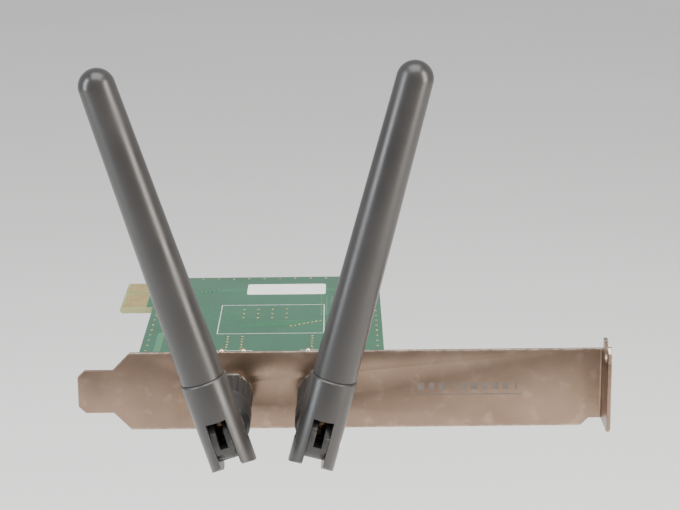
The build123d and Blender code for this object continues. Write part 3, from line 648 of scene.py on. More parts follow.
def rod_shell(side):
    """The rod's tapered, domed shell: hollow, with a socket for the fork and a faint parting line."""
    shell_end = ROD_LENGTH - SHELL_TOP
    outside = arc((0, shell_end), SHELL_TOP, DOME_TOP, 0, 24)
    foot_edge = arc((SHELL_FOOT - FOOT_ROUND, FORK_TOP + FOOT_ROUND), FOOT_ROUND, 0, -90, 4)
    socket = [(SOCKET_RADIUS, FORK_TOP), (SOCKET_RADIUS, SPIGOT_END)]
    socket += [(SOCKET_RADIUS - SOCKET_STEP, SPIGOT_END)]
    bore = arc((0, shell_end), SHELL_TOP - SHELL_WALL, 0, DOME_TOP, 12)
    shell = turn(f"{side}_antenna_shell", outside + foot_edge + socket + bore)

    def on_seam(co):
        on_outside = abs(co.x) > SHELL_TOP - SEAM_REACH and FORK_TOP < co.z < shell_end
        return on_outside and abs(co.y) < SEAM_REACH

    pick_points(shell, on_seam)
    grow = 1 + SEAM_HEIGHT / SHELL_FOOT
    bpy.ops.transform.resize(value=(grow, 1, 1), center_override=(0, 0, 0))
    leave()
    return on_antenna(shell, side, "rod", "rod_shell")


def rod_fork(side):
    """The rod's hinge end: two cheeks beside a slot, round at the hinge, with a spigot up into the shell."""
    step = FORK_RADIUS - SHELL_FOOT
    spigot = SOCKET_RADIUS - SPIGOT_SLACK
    outline = [(FORK_RADIUS, -CHEEK_RADIUS - 1), (FORK_RADIUS, FORK_TOP - step), (SHELL_FOOT, FORK_TOP)]
    fork = turn(f"{side}_antenna_fork", outline + [(spigot, FORK_TOP), (spigot, SPIGOT_END)])
    carve(fork, stadium("cheek_rounds", CHEEK_RADIUS, 2 * ROD_LENGTH, 3 * FORK_RADIUS, 128), "INTERSECT")
    slot_width = TONGUE_THICKNESS + 2 * CHEEK_GAP
    deep = 2 * CHEEK_RADIUS
    carve(fork, block("slot", (slot_width, 4 * FORK_RADIUS, deep), (0, 0, CROTCH - deep / 2)))
    carve(fork, cross_hole(PIN_RADIUS + PIN_GAP, 4 * FORK_RADIUS))
    carve(fork, rod("lead_bore", LEAD_SLOT / 2, 0, ROD_LENGTH, 48))
    soften(fork, FORK_ROUND, 4)
    return on_antenna(fork, side, "rod", "rod_fork")


# ---- hinge bases and couplings

COLLAR_RADIUS = 5.2
COLLAR_BEVEL = 0.7
CHEEK_SWEEP_GAP = 0.3
TONGUE_ROOT = 1.4  # the tongue's reach into the collar
ELBOW_ROUND = 0.2


def elbow(side):
    """A collar that holds the plug, and the slotted tongue that the rod's cheeks turn on."""
    start, _ = out_from_bracket(f"{side}_elbow")
    shoulder = hinge_out - CHEEK_RADIUS - CHEEK_SWEEP_GAP
    rim = COLLAR_RADIUS - COLLAR_BEVEL
    outline = [(rim, start), (COLLAR_RADIUS, start + COLLAR_BEVEL)]
    outline += [(COLLAR_RADIUS, shoulder - COLLAR_BEVEL), (rim, shoulder)]
    piece = turn(f"{side}_hinge_base", outline)
    tongue = swing(stadium("tongue", TONGUE_RADIUS, CHEEK_RADIUS + TONGUE_ROOT, TONGUE_THICKNESS), 180, "X")
    tongue.location.z = hinge_out
    carve(piece, tongue, "UNION")
    room = 3 * CHEEK_RADIUS
    slot_middle = (0, (room - LEAD_SLOT) / 2, shoulder + room / 2)
    carve(piece, block("lead_slot", (LEAD_SLOT, room, room), slot_middle))
    _, plug_end = out_from_bracket(f"{side}_plug_body")
    plug_radius = (reach(f"{side}_plug_body", 2)[1] - reach(f"{side}_plug_body", 2)[0]) / 2
    carve(piece, rod("plug_bore", plug_radius, start - 1, plug_end))
    carve(piece, rod("lead_bore", LEAD_SLOT / 2, plug_end - 1, shoulder + 1, 48))
    carve(piece, cross_hole(PIN_RADIUS, 2 * TONGUE_THICKNESS, hinge_out))
    soften(piece, ELBOW_ROUND, 3)
    return on_antenna(piece, side, "base", "elbow")


PIN_BEVEL = 0.1
PIN_HEAD_ROUND = 0.2
PIN_DISH = ((0.7, 0.02), (0.55, 0.18), (0.1, 0.2))  # radius and depth, from the head's rim to its middle


def hinge_pins(side):
    """Two short pins, pressed into the tongue from either side, with a dished head each."""
    start, end = LEAD_SLOT / 2, FORK_RADIUS - PIN_SUNK
    shoulder = end - PIN_HEAD_ROUND
    outline = [(PIN_RADIUS - PIN_BEVEL, start), (PIN_RADIUS, start + PIN_BEVEL), (PIN_RADIUS, shoulder)]
    outline += arc((PIN_RADIUS - PIN_HEAD_ROUND, shoulder), PIN_HEAD_ROUND, 20, 90, 4)
    outline += [(radius, end - depth) for radius, depth in PIN_DISH]
    first = swing(turn("hinge_pin", outline, 64), 90, "Y")
    second = copy_to(first, "hinge_pin_back")
    swing(second, 180, "Z")
    pins = lift(join(f"{side}_hinge_pin_pair", [first, second]), (0, 0, hinge_out))
    return on_antenna(pins, side, "base", "hinge_pins")


FLUTES = 20
POINTS_A_FLUTE = 8
FLUTE_DEPTHS = (0.34, 0.26, 0.1)  # at a flute's middle, and one and two points beside it
FLUTE_RUN_OUT = ((0.25, 0.5), (0.6, 1.0))  # distance from a flute's end, and the share of its depth there
SLEEVE_RIM = 1.2
SLEEVE_EDGE = ((0.4, 0.0), (0.1, 0.12), (0.0, 0.4))  # in from the sleeve's outside, and in from its end
SLEEVE_PASSAGE = 2.45
NEAR = 0.1


def grip_sleeve(side):
    """The sleeve that fingers turn: plain rims, with flutes pressed in between them."""
    start, end = out_from_bracket(f"{side}_grip_sleeve")
    low, high = reach(f"{side}_grip_sleeve", 0)
    radius = (high - low) / 2
    nut_low, nut_high = reach(f"{side}_coupling_nut", 0)
    nut_radius = (nut_high - nut_low) / 2
    _, nut_end = out_from_bracket(f"{side}_coupling_nut")
    flute_low, flute_high = start + SLEEVE_RIM, end - SLEEVE_RIM
    outline = [(nut_radius, start)] + [(radius - inset, start + rise) for inset, rise in SLEEVE_EDGE]
    outline += [(radius, flute_low)] + [(radius, flute_low + from_end) for from_end, _ in FLUTE_RUN_OUT]
    outline += [(radius, flute_high - from_end) for from_end, _ in reversed(FLUTE_RUN_OUT)]
    outline.append((radius, flute_high))
    outline += [(radius - inset, end - rise) for inset, rise in reversed(SLEEVE_EDGE)]
    outline += [(SLEEVE_PASSAGE, end), (SLEEVE_PASSAGE, nut_end), (nut_radius, nut_end)]
    sleeve = turn(f"{side}_coupling_sleeve", outline, FLUTES * POINTS_A_FLUTE, closed=True)

    def in_flute(co, points_beside, from_end):
        """Outside, so many points beside a flute's middle and so far from the nearer of its ends."""
        flute_share = degrees(atan2(co.y, co.x)) / (360 / FLUTES) % 1
        beside = abs(flute_share - 0.5) * POINTS_A_FLUTE
        inset = min(co.z - flute_low, flute_high - co.z)
        outer = sqrt(co.x**2 + co.y**2) > radius - NEAR
        return outer and abs(beside - points_beside) < NEAR and abs(inset - from_end) < NEAR

    for points_beside, depth in enumerate(FLUTE_DEPTHS):
        for from_end, share in FLUTE_RUN_OUT:
            pick_points(sleeve, lambda co: in_flute(co, points_beside, from_end))
            shrink = 1 - depth * share / radius
            bpy.ops.transform.resize(value=(shrink, shrink, 1), center_override=(0, 0, 0))
            leave()
    return on_antenna(sleeve, side, "coupling", "grip_sleeve", 50)


for side in SIDES:
    rod_shell(side)
    rod_fork(side)
    elbow(side)
    hinge_pins(side)
    grip_sleeve(side)


# ---- slot bracket

SHEET = 0.86
SHEET_ROUND = 0.13
TONGUE = 5.08  # half widths, either side of the bracket's centre line
TONGUE_TIP = 3.48
TONGUE_CUT = 1.6  # distances from the tongue's tip
TONGUE_LENGTH = 8.0
SHOULDER_END = 12.0
BEND_INSIDE = 0.45
TAB_FOOT = -7.4
TAB_HEAD = 12.38
TAB_CORNER = 1.2
FOOT_SLOPE = (-4.57, -2.76)
EAR_GAP = 1.5
EAR_SLANT = 0.15
NOTCH_RADIUS = 2.21
NOTCH_HEIGHT = 10.16
HOLE_RADIUS = 3.25
SAME_WIDTH = 0.0001


def next_section(shift, old, new):
    """Push the sheet's end on by a shift, and give the new end its own lowest and highest edge."""
    push_out(shift)
    stretch = (new[1] - new[0]) / (old[1] - old[0])
    if abs(stretch - 1) > SAME_WIDTH:
        still = (new[0] - stretch * old[0]) / (1 - stretch)
        bpy.ops.transform.resize(value=(1, 1, stretch), center_override=(0, 0, still))


def slot_bracket():
    """The sheet: drawn from the tongue's tip along the plate, bent, and drawn on to the tab's free edge."""
    tip_x = bracket_low.x
    tip = (tip_x, face_y + SHEET / 2, 0)
    bpy.ops.mesh.primitive_plane_add(size=1, location=tip, rotation=(0, pi / 2, 0))
    piece = newest("slot_bracket")
    piece.scale = (2 * TONGUE_TIP, SHEET, 1)
    edit(settle(piece))
    x, width = tip_x, (-TONGUE_TIP, TONGUE_TIP)
    plate_sections = [
        (tip_x + TONGUE_CUT, (-TONGUE, TONGUE)),
        (tip_x + TONGUE_LENGTH, (-TONGUE, TONGUE)),
        (tip_x + SHOULDER_END, (-PLATE_HALF, PLATE_HALF)),
        (FOOT_SLOPE[0], (-PLATE_HALF, PLATE_HALF)),
        (FOOT_SLOPE[1], (TAB_FOOT, PLATE_HALF)),
        (-BEND_INSIDE, (TAB_FOOT, PLATE_HALF)),
    ]
    for new_x, new_width in plate_sections:
        next_section((new_x - x, 0, 0), width, new_width)
        x, width = new_x, new_width
    bpy.ops.mesh.spin(steps=10, angle=pi / 2, center=(x, face_y - BEND_INSIDE, 0), axis=(0, 0, 1))
    y = face_y - BEND_INSIDE
    tab_sections = [
        (face_y - EAR_GAP, (TAB_FOOT, PLATE_HALF)),
        (face_y - EAR_GAP - EAR_SLANT, (TAB_FOOT, TAB_HEAD)),
        (bracket_low.y + TAB_CORNER, (TAB_FOOT, TAB_HEAD)),
        (bracket_low.y, (TAB_FOOT + TAB_CORNER, TAB_HEAD - TAB_CORNER)),
    ]
    for new_y, new_width in tab_sections:
        next_section((0, new_y - y, 0), width, new_width)
        y, width = new_y, new_width
    bpy.ops.mesh.select_all(action="SELECT")
    bpy.ops.mesh.remove_doubles()
    leave_closed()
    notch = stadium("notch", NOTCH_RADIUS, 4 * NOTCH_RADIUS, 8 * SHEET)
    notch.location.z = NOTCH_HEIGHT
    carve(piece, notch)
    for side in SIDES:
        hole = swing(rod("hole", HOLE_RADIUS, -4 * SHEET, 4 * SHEET), 90, "X")
        hole.location = (jack_x[side], face_y, 0)
        carve(piece, hole)
    soften(piece, SHEET_ROUND, 3)
    return set_down(piece, CARD, sheet_nickel_in_painted_shade, "card", ["bracket"], 40)


PRINT_RISE = 0.012  # all print, above what it is printed on
FIRST_MARK = -41.0
MARK_PITCH = 2.4
MARK_WIDTHS = (1.6, 1.1, 1.6, 0.5, 1.3, 1.6, 1.1, 1.6, 1.3, 0.5)
MARK_HEIGHT = 1.7
MARK_LEVEL = 0.6
LINE_HEIGHT = 0.25
LINE_PLACE = (-30.2, -1.4)


def bracket_marks():
    """A row of plain printed bars over a thin line, faint, on the bracket's outer face."""
    bars = []
    for number, width in enumerate(MARK_WIDTHS):
        place = (number * MARK_PITCH + FIRST_MARK, face_y, MARK_LEVEL)
        bars.append(block("bar", (width, 2 * PRINT_RISE, MARK_HEIGHT), place))
    line_size = (len(MARK_WIDTHS) * MARK_PITCH, 2 * PRINT_RISE, LINE_HEIGHT)
    bars.append(block("line", line_size, (LINE_PLACE[0], face_y, LINE_PLACE[1])))
    return set_down(join("bracket_marks", bars), CARD, grey_print, "card")


# ---- jacks and their nuts

THREAD_RADIUS = 3.175
THREAD_DEPTH = 0.2
THREAD_PITCH = 0.7056
THREAD_SHAPE = ((0.32, 1), (0.5, 1), (0.82, 0), (1, 0))  # along one pitch, and the share of the depth there
THREAD_START = 0.1
BARREL_END = 11.4
BARREL_BEVEL = 0.12
JACK_SOCKET_FLOOR = 9.4
JACK_SOCKET_RADIUS = 2.3
INSULATOR_RADIUS = 2.05
JACK_BLOCK = (8.0, 8.6, 9.0)
JACK_BLOCK_LOW = -3.8
JACK_BLOCK_ROUND = 0.35
JACK_LEG_RADIUS = 0.55
JACK_LEG_SPREAD = 2.54
JACK_LEG_PROUD = 1.0
JACK_LEG_ROOT = 0.5
JACK_LEG_BEVEL = 0.15
TAIL_RADIUS = 1.1
NUT_CORNER = 4.619
NUT_BEVEL = 0.3
NUT_BORE = 3.225
NUT_ROUND = 0.08
NUT_CORNER_SPARE = 0.02

spread_ways = (-JACK_LEG_SPREAD, JACK_LEG_SPREAD)
JACK_LEG_PLACES = [(across, back) for across in spread_ways for back in spread_ways]
jack_middle = -(SHEET + JACK_BLOCK[2] / 2)


def jack_body(side):
    """A right-angle jack: a block under the board, a barrel out through the bracket, and four legs."""
    middle_y = JACK_BLOCK_LOW + JACK_BLOCK[1] / 2
    piece = soften(block(f"{side}_antenna_jack", JACK_BLOCK, (0, middle_y, jack_middle)), JACK_BLOCK_ROUND)
    root = THREAD_RADIUS - THREAD_DEPTH
    outline = [(root, -SHEET - 1), (root, THREAD_START)]
    height = THREAD_START
    while height + THREAD_PITCH < BARREL_END - BARREL_BEVEL:
        for along, share in THREAD_SHAPE:
            outline.append((root + share * THREAD_DEPTH, height + along * THREAD_PITCH))
        height += THREAD_PITCH
    outline += [(root, BARREL_END - BARREL_BEVEL), (root - BARREL_BEVEL, BARREL_END)]
    carve(piece, turn("barrel", outline, 64), "UNION")
    carve(piece, rod("socket", JACK_SOCKET_RADIUS, JACK_SOCKET_FLOOR, BARREL_END + 1, 64))
    bore_low, bore_high = jack_middle - TAIL_RADIUS, JACK_SOCKET_FLOOR + 0.1
    carve(piece, rod("insulator_bore", INSULATOR_RADIUS, bore_low, bore_high, 64))
    tail = swing(rod("tail_bore", TAIL_RADIUS, -board_low.z - 1, 0, 48), 90, "X")
    tail.location.z = jack_middle
    carve(piece, tail)
    low, high = board_low.z - JACK_LEG_ROOT, board_high.z + JACK_LEG_PROUD
    outline = [(JACK_LEG_RADIUS, low), (JACK_LEG_RADIUS, high - JACK_LEG_BEVEL)]
    outline += [(JACK_LEG_RADIUS - JACK_LEG_BEVEL, high)]
    for across, back in JACK_LEG_PLACES:
        leg = swing(turn("leg", outline, 24), -90, "X")
        leg.location = (across, 0, jack_middle + back)
        carve(piece, leg, "UNION")
    return set_down(piece, jack_frame[side], gold, "card", [f"{side}_jack_body"])


def jack_nut(side):
    """A hexagon nut, its corners bevelled off at both faces."""
    start, end = out_from_bracket("jack_nuts")
    nut = swing(turn("nut", [(NUT_CORNER, start), (NUT_CORNER, end)], 6), 30, "Z")
    rim, belly = NUT_CORNER - 2 * NUT_BEVEL, NUT_CORNER + NUT_CORNER_SPARE
    bevelled = [(rim, start), (belly, start + NUT_BEVEL), (belly, end - NUT_BEVEL), (rim, end)]
    carve(nut, turn("bevelled", bevelled), "INTERSECT")
    carve(nut, rod("bore", NUT_BORE, start - 1, end + 1, 64))
    soften(nut, NUT_ROUND, 2)
    return lift(nut, (jack_x[side], 0, 0))


bench_to_face = frame_at(Vector((0, face_y * MM, 0)), (1, 0, 0), OUTWARDS)
slot_bracket()
bracket_marks()
for side in SIDES:
    jack_body(side)
nuts = join("jack_nut_pair", [jack_nut(side) for side in SIDES])
set_down(nuts, bench_to_face, nickel, "card", ["jack_nuts"])


# ---- on the board
# Places are across and back from the board's corner. Pieces on either face are modelled standing on it.

FINGER_HEIGHT = 8.25
board_corner_x = board_low.x + FINGER_HEIGHT
board_depth = board_high.y - board_low.y
board_height = board_high.x - board_corner_x
upper_corner = Vector((board_corner_x, board_low.y, board_high.z)) * MM
lower_corner = Vector((board_corner_x, board_low.y, board_low.z)) * MM
SOLDER_SIDE = Matrix.Translation(upper_corner)
COMPONENT_SIDE = Matrix.Translation(lower_corner) @ Matrix.Rotation(pi, 4, "X")


def under(places):
    """The same places seen from the component side, where back runs the other way."""
    return [(across, -back) for across, back in places]


def row(first, step, count):
    """Places in a row: the first one, the step across and back to the next, and how many."""
    return [(first[0] + step[0] * i, first[1] + step[1] * i) for i in range(count)]


def repeat(prototype, name, places):
    """Copies of a prototype at the places, joined to one piece."""
    pieces = [copy_to(prototype, name, (across, back, 0)) for across, back in places]
    bpy.data.objects.remove(prototype, do_unlink=True)
    return join(name, pieces)


def on_component_side(piece, finish, stands_for=()):
    return set_down(piece, COMPONENT_SIDE, finish, "card", stands_for)


def on_solder_side(piece, finish):
    return set_down(piece, SOLDER_SIDE, finish, "card")


def fit(prototype, name, places, finish, slot, *stands_for):
    """Fit one on the component side at each of the places."""
    return on_component_side(repeat(prototype, name, under(places)), finish, stands_for)


CASE_FOOT = 0.1
CASE_CORNER = 0.12
CASE_TAPER = 0.3  # how much narrower the case is at its top than at the parting line
CASE_ROUND = 0.08
DIMPLE = ((0.3, -0.08), (0.34, 0.3))  # radius, and height from the case's top
DIMPLE_INSET = 0.75


def chip_case(size, foot=CASE_FOOT, dimple=True):
    """A moulded case: sides that slope from the parting line up, small radii and a dimple by pin one."""
    across, back, height = size
    case = block("case", size, (0, 0, foot + height / 2), CASE_CORNER, 2)
    pick_points(case, lambda co: co.z > foot + height / 2)
    taper = (1 - CASE_TAPER / across, 1 - CASE_TAPER / back, 1)
    bpy.ops.transform.resize(value=taper, center_override=(0, 0, 0))
    leave()
    soften(case, CASE_ROUND, 2)
    if dimple:
        mark = turn("dimple", [(radius, foot + height + rise) for radius, rise in DIMPLE], 24)
        mark.location = (DIMPLE_INSET - across / 2, DIMPLE_INSET - back / 2, 0)
        carve(case, mark)
    return case


LEAD_ROUND = 0.03
LEAD_ROOT = 0.15  # a lead's reach into its case


def gull_wing(width, thickness, case_edge, level, reach_out):
    """A flat lead that leaves its case level, steps down in two bends and lies on its pad."""
    foot = thickness / 2
    path = [
        (0, case_edge - LEAD_ROOT, level),
        (0, case_edge + 0.25 * reach_out, level),
        (0, case_edge + 0.32 * reach_out, level - 0.05),
        (0, case_edge + 0.5 * reach_out, foot + 0.06),
        (0, case_edge + 0.58 * reach_out, foot),
        (0, case_edge + reach_out, foot),
    ]
    return soften(strip("leg", (width, thickness), path), LEAD_ROUND, 1)


MEMORY_PLACE = (31.0, 54.0)
MEMORY_BODY = (4.9, 3.9, 1.5)
MEMORY_PITCH = 1.27
MEMORY_LEG = (0.42, 0.2, MEMORY_BODY[1] / 2, 0.7, 1.1)  # in the order that gull_wing takes them
REGULATOR_PLACE = (10.5, 34.0)
REGULATOR_BODY = (6.5, 3.5, 1.6)
REGULATOR_PITCH = 2.3
REGULATOR_LEG = (0.7, 0.25, REGULATOR_BODY[1] / 2, 0.8, 1.9)
REGULATOR_TAB = (3.0, *REGULATOR_LEG[1:])


def memory_chip():
    """A case with four leads on its front and four on its rear edge."""
    fit(chip_case(MEMORY_BODY), "memory_case", [MEMORY_PLACE], chip_epoxy, "chip_plastic", "memory_chip")
    front = repeat(gull_wing(*MEMORY_LEG), "legs", row((-1.5 * MEMORY_PITCH, 0), (MEMORY_PITCH, 0), 4))
    rear = swing(copy_to(front, "rear_legs"), 180, "Z")
    fit(join("legs", [front, rear]), "memory_legs", [MEMORY_PLACE], tin, "tin_plate")


def voltage_regulator():
    """A case with three leads on its front edge and a broad tab on its rear one."""
    case = chip_case(REGULATOR_BODY)
    fit(case, "regulator_case", [REGULATOR_PLACE], chip_epoxy, "chip_plastic", "voltage_regulator")
    front = repeat(gull_wing(*REGULATOR_LEG), "legs", row((-REGULATOR_PITCH, 0), (REGULATOR_PITCH, 0), 3))
    tab = swing(gull_wing(*REGULATOR_TAB), 180, "Z")
    fit(join("legs", [front, tab]), "regulator_legs", [REGULATOR_PLACE], tin, "tin_plate")


INDUCTOR_PLACE = (11.0, 44.5)
INDUCTOR_SIZE = (5.0, 5.0, 2.4)
INDUCTOR_CORNER = 1.0
INDUCTOR_ROUND = 0.14
RECESS = ((1.45, -0.12), (1.7, 0.2))  # radius, and height from the block's top
TERMINAL = (2.4, 0.1, 0.9)
TERMINAL_LEVEL = 0.06
TERMINAL_END = 0.08  # past the block's side


def power_inductor():
    """A moulded ferrite block with a shallow round recess on top, and a terminal folded up two sides."""
    _, back, top = INDUCTOR_SIZE
    core = block("core", INDUCTOR_SIZE, (0, 0, top / 2), INDUCTOR_CORNER, 6)
    carve(core, turn("recess", [(radius, top + rise) for radius, rise in RECESS], 64))
    soften(core, INDUCTOR_ROUND, 3)
    fit(core, "power_choke", [INDUCTOR_PLACE], ferrite, "ferrite", "power_inductor")
    width, thickness, high = TERMINAL
    path = [(0, back / 2 - high, TERMINAL_LEVEL), (0, back / 2 + TERMINAL_END, TERMINAL_LEVEL)]
    foot = soften(strip("terminal", (width, thickness), path), LEAD_ROUND, 1)
    upright = soften(block("upright", TERMINAL, (0, (back + thickness) / 2, high / 2)), LEAD_ROUND, 1)
    pair = join("terminal", [foot, upright])
    other = swing(copy_to(pair, "terminal_back"), 180, "Z")
    fit(join("terminals", [pair, other]), "choke_terminals", [INDUCTOR_PLACE], tin, "tin_plate")


TANTALUM_PLACES = [(20.5, 50.0), (20.5, 54.5)]
TANTALUM_SIZE = (3.5, 2.8, 1.9)
TANTALUM_END = (0.12, 2.2, 0.95)
TANTALUM_END_ROUND = 0.04
TANTALUM_BAR = (0.6, 2.3, 0.02)
BAR_INSET = 0.65
BAR_RISE = 0.002


def tantalum_capacitors():
    """Cases between two folded end plates, with a printed bar by the one end."""
    across, back, high = TANTALUM_SIZE
    thickness, _, end_high = TANTALUM_END
    case = chip_case((across - 2 * thickness, back, high), 0, dimple=False)
    fit(case, "tantalum_cases", TANTALUM_PLACES, tantalum_case, "tantalum_case", "tantalum_capacitors")
    bar = block("bar", TANTALUM_BAR, (BAR_INSET - across / 2, 0, high + BAR_RISE))
    fit(bar, "tantalum_marks", TANTALUM_PLACES, grey_print, "tantalum_case")
    ends = []
    for way in (-0.5, 0.5):
        end = block("end", TANTALUM_END, (way * (across - thickness), 0, end_high / 2))
        ends.append(soften(end, TANTALUM_END_ROUND, 2))
    fit(join("ends", ends), "tantalum_ends", TANTALUM_PLACES, tin, "tin_plate")


jack_across = {side: jack_x[side] - board_corner_x for side in SIDES}
CERAMIC_SIZE = (1.6, 0.8, 0.8)
CERAMIC_BODY = (1.3, 0.76, 0.76)
CERAMIC_ROUND = 0.05
ceramic_places = [(jack_across[side], back) for side in SIDES for back in (12.0, 14.6, 17.2)]
ceramic_places += row((4.0, 46.0), (0, 2.4), 4)
ceramic_places += row((26.0, 50.0), (0, 2.4), 2) + row((16.5, 34.0), (0, 2.4), 2)
RESISTOR_SIZE = (0.8, 1.6, 0.45)
RESISTOR_BODY = (0.76, 1.3, 0.37)
RESISTOR_ROUND = 0.03
GLAZE_SIZE = (0.74, 0.98, 0.05)
GLAZE_SUNK = 0.02
GLAZE_ROUND = 0.02
FIRST_RESISTOR = (37.0, 50.0)
RESISTOR_PITCH = (1.7, 3.0)
resistor_places = row(FIRST_RESISTOR, (RESISTOR_PITCH[0], 0), 4)
resistor_places += row((FIRST_RESISTOR[0], FIRST_RESISTOR[1] + RESISTOR_PITCH[1]), (RESISTOR_PITCH[0], 0), 4)
END_CAP = 0.34
END_CAP_ROUND = 0.06
FILLET = 0.22
FILLET_SHARE = 0.6  # of the part's height
FILLET_SLOPE = 1.9  # how far the fillet's top is drawn in, in fillets
FILLET_ROUND = 0.04


def end_caps(length, width, height):
    """The tinned ends of a chip part along X, with a small solder fillet at each foot."""
    pieces = []
    high = FILLET_SHARE * height
    for way in (-1, 1):
        cap = block("cap", (END_CAP, width, height), (way * (length - END_CAP) / 2, 0, height / 2))
        pieces.append(soften(cap, END_CAP_ROUND, 2))
        fillet = block("fillet", (2 * FILLET, width, high), (way * length / 2, 0, high / 2))
        pick_points(fillet, lambda co: co.z > high / 2 and abs(co.x) > length / 2)
        bpy.ops.transform.translate(value=(-way * FILLET_SLOPE * FILLET, 0, 0))
        leave()
        pieces.append(soften(fillet, FILLET_ROUND, 2))
    return join("caps", pieces)


def ceramic_capacitors():
    """Brown bodies between tinned ends, along X."""
    body = soften(block("body", CERAMIC_BODY, (0, 0, CERAMIC_SIZE[2] / 2)), CERAMIC_ROUND, 2)
    fit(body, "capacitor_bodies", ceramic_places, capacitor_ceramic, "chip_ceramic", "ceramic_capacitors")
    fit(end_caps(*CERAMIC_SIZE), "capacitor_ends", ceramic_places, solder, "tin_plate")


def chip_resistors():
    """White bodies with a dark glaze on top, the long way back."""
    across, back, high = RESISTOR_SIZE
    body = soften(block("body", RESISTOR_BODY, (0, 0, high / 2)), RESISTOR_ROUND, 1)
    fit(body, "resistor_bodies", resistor_places, white_print, "chip_ceramic", "resistors")
    glaze = soften(block("glaze", GLAZE_SIZE, (0, 0, high - GLAZE_SUNK)), GLAZE_ROUND, 1)
    fit(glaze, "resistor_glaze", resistor_places, resistor_glaze, "chip_resistor")
    caps = swing(end_caps(back, across, high), 90, "Z")
    fit(caps, "resistor_ends", resistor_places, solder, "tin_plate")


SHIELD_PLACE = (30.0, 33.0)
LID_SIZE = (24.5, 22.5)
LID_CORNER = 1.45
LID_TOP = 2.4
LID_ROUND = 0.3
LID_SHEET = 0.2
LID_FOOT = 0.9
VENT_RADIUS = 0.65
VENT_PITCH = 3.2
VENT_PLACE = (-5.0, -6.5)
PANEL_SIZE = (18.0, 10.5, 1.0)
PANEL_PLACE = (0.0, -4.0)
PANEL_CORNER = 1.2
PANEL_DEPTH = 0.07
SNAP_RADIUS = 0.28
SNAP_RISE = 0.45


def shield_lid():
    """A pressed lid with soft edges, six vents, a shallow pressed panel, and snap holes round its skirt."""
    height = LID_TOP - LID_FOOT
    lid = block("lid", (*LID_SIZE, height), (0, 0, LID_FOOT + height / 2), LID_CORNER, 6)
    round_edges(lid, lambda a, b: min(a.z, b.z) > LID_TOP - NO_DISTANCE, LID_ROUND, 4)
    room = (LID_SIZE[0] - 2 * LID_SHEET, LID_SIZE[1] - 2 * LID_SHEET, 2 * height)
    carve(lid, block("room", room, (0, 0, LID_TOP - LID_SHEET - height), LID_CORNER - LID_SHEET, 6))
    for column in (-1, 0, 1):
        for line in (-0.5, 0.5):
            vent = rod("vent", VENT_RADIUS, LID_FOOT, LID_TOP + 1, 32)
            vent.location = (VENT_PLACE[0] + column * VENT_PITCH, -VENT_PLACE[1] + line * VENT_PITCH, 0)
            carve(lid, vent)
    panel_place = (*PANEL_PLACE, LID_TOP + PANEL_SIZE[2] / 2 - PANEL_DEPTH)
    carve(lid, block("panel", PANEL_SIZE, panel_place, PANEL_CORNER, 6))
    level = LID_FOOT + SNAP_RISE
    for share in (-0.3, 0, 0.3):
        across = rod("snap_hole", SNAP_RADIUS, -LID_SIZE[0], LID_SIZE[0], 20)
        carve(lid, lift(swing(across, 90, "Y"), (0, share * LID_SIZE[1], level)))
        back = rod("snap_hole", SNAP_RADIUS, -LID_SIZE[1], LID_SIZE[1], 20)
        carve(lid, lift(swing(back, 90, "X"), (share * LID_SIZE[0], 0, level)))
    fit(lid, "shield_cover", [SHIELD_PLACE], tin, "tin_plate", "shield_lid")


# ---- copper, solder and print on the board

COPPER_RISE = 0.03
PRINT_LINE = 0.15
FIRST_CONTACT = 44.775  # back from the board's corner
CONTACT_PITCH = 1.0
CONTACT_END = -1.9
SIGNAL, DATA, BUS, RF_LINE, SUPPLY = 0.25, 0.3, 0.4, 0.6, 1.6  # widths of the tracks
JACK_BACK = 3.9
CLEAR_OF_JACK = 4
JACK_OUTLINE_BACK = 4.4
JACK_OUTLINE = (8.6, 7.8)
SHIELD_OUTLINE = (25.4, 23.4)
LABEL_SIZE = (20, 9, 0.16)
LABEL_PLACE = (33, 58.5, 0)
LABEL_CORNER = 0.8
LABEL_ROUND = 0.02
HOLE_INSET = 1.4  # of the holes along the board's edges
VIA_RIM = [(0.32, -0.02), (0.32, 0.035), (0.29, 0.045), (0.16, 0.045), (0.14, -0.02)]
JOINT = [(1.05, -0.02), (1.03, 0.03), (0.84, 0.13), (0.68, 0.38), (0.6, 0.75), (0.45, 0.92)]
edge_holes = row((board_height - HOLE_INSET, 3), (0, 4), 17) + row((3, board_depth - HOLE_INSET), (4, 0), 14)


def track(path, width):
    """A strip of copper through the places, which advances the way it runs further."""
    along_x = abs(path[-1][0] - path[0][0]) > abs(path[-1][1] - path[0][1])
    height = 2 * COPPER_RISE
    size, facing = ((height, width), (0, pi / 2, 0)) if along_x else ((width, height), (pi / 2, 0, 0))
    return strip("track", size, [(across, back, 0) for across, back in path], facing)


def jogged(across, start, jog_at, end, jog):
    """Places straight back from start to end, with a step aside at 45 degrees from jog_at on."""
    after_jog = jog_at + (abs(jog) if end > start else -abs(jog))
    return [(across, start), (across, jog_at), (across + jog, after_jog), (across + jog, end)]


def jogged_across(back, start, jog_at, end, jog):
    """The same, straight across with a step back."""
    return [(across, back) for back, across in jogged(back, start, jog_at, end, jog)]


def printed_box(middle, size):
    """The printed outline of a part."""
    (across, back), (wide, deep) = middle, size
    long_line = (wide + PRINT_LINE, PRINT_LINE, 2 * PRINT_RISE)
    short_line = (PRINT_LINE, deep - PRINT_LINE, 2 * PRINT_RISE)
    lines = []
    for way in (-0.5, 0.5):
        lines.append(block("line", long_line, (across, back + way * deep, 0)))
        lines.append(block("line", short_line, (across + way * wide, back, 0)))
    return lines


def vias(name, places):
    """The rims of small plated holes."""
    return repeat(turn("via", VIA_RIM, 16, closed=True), name, places)


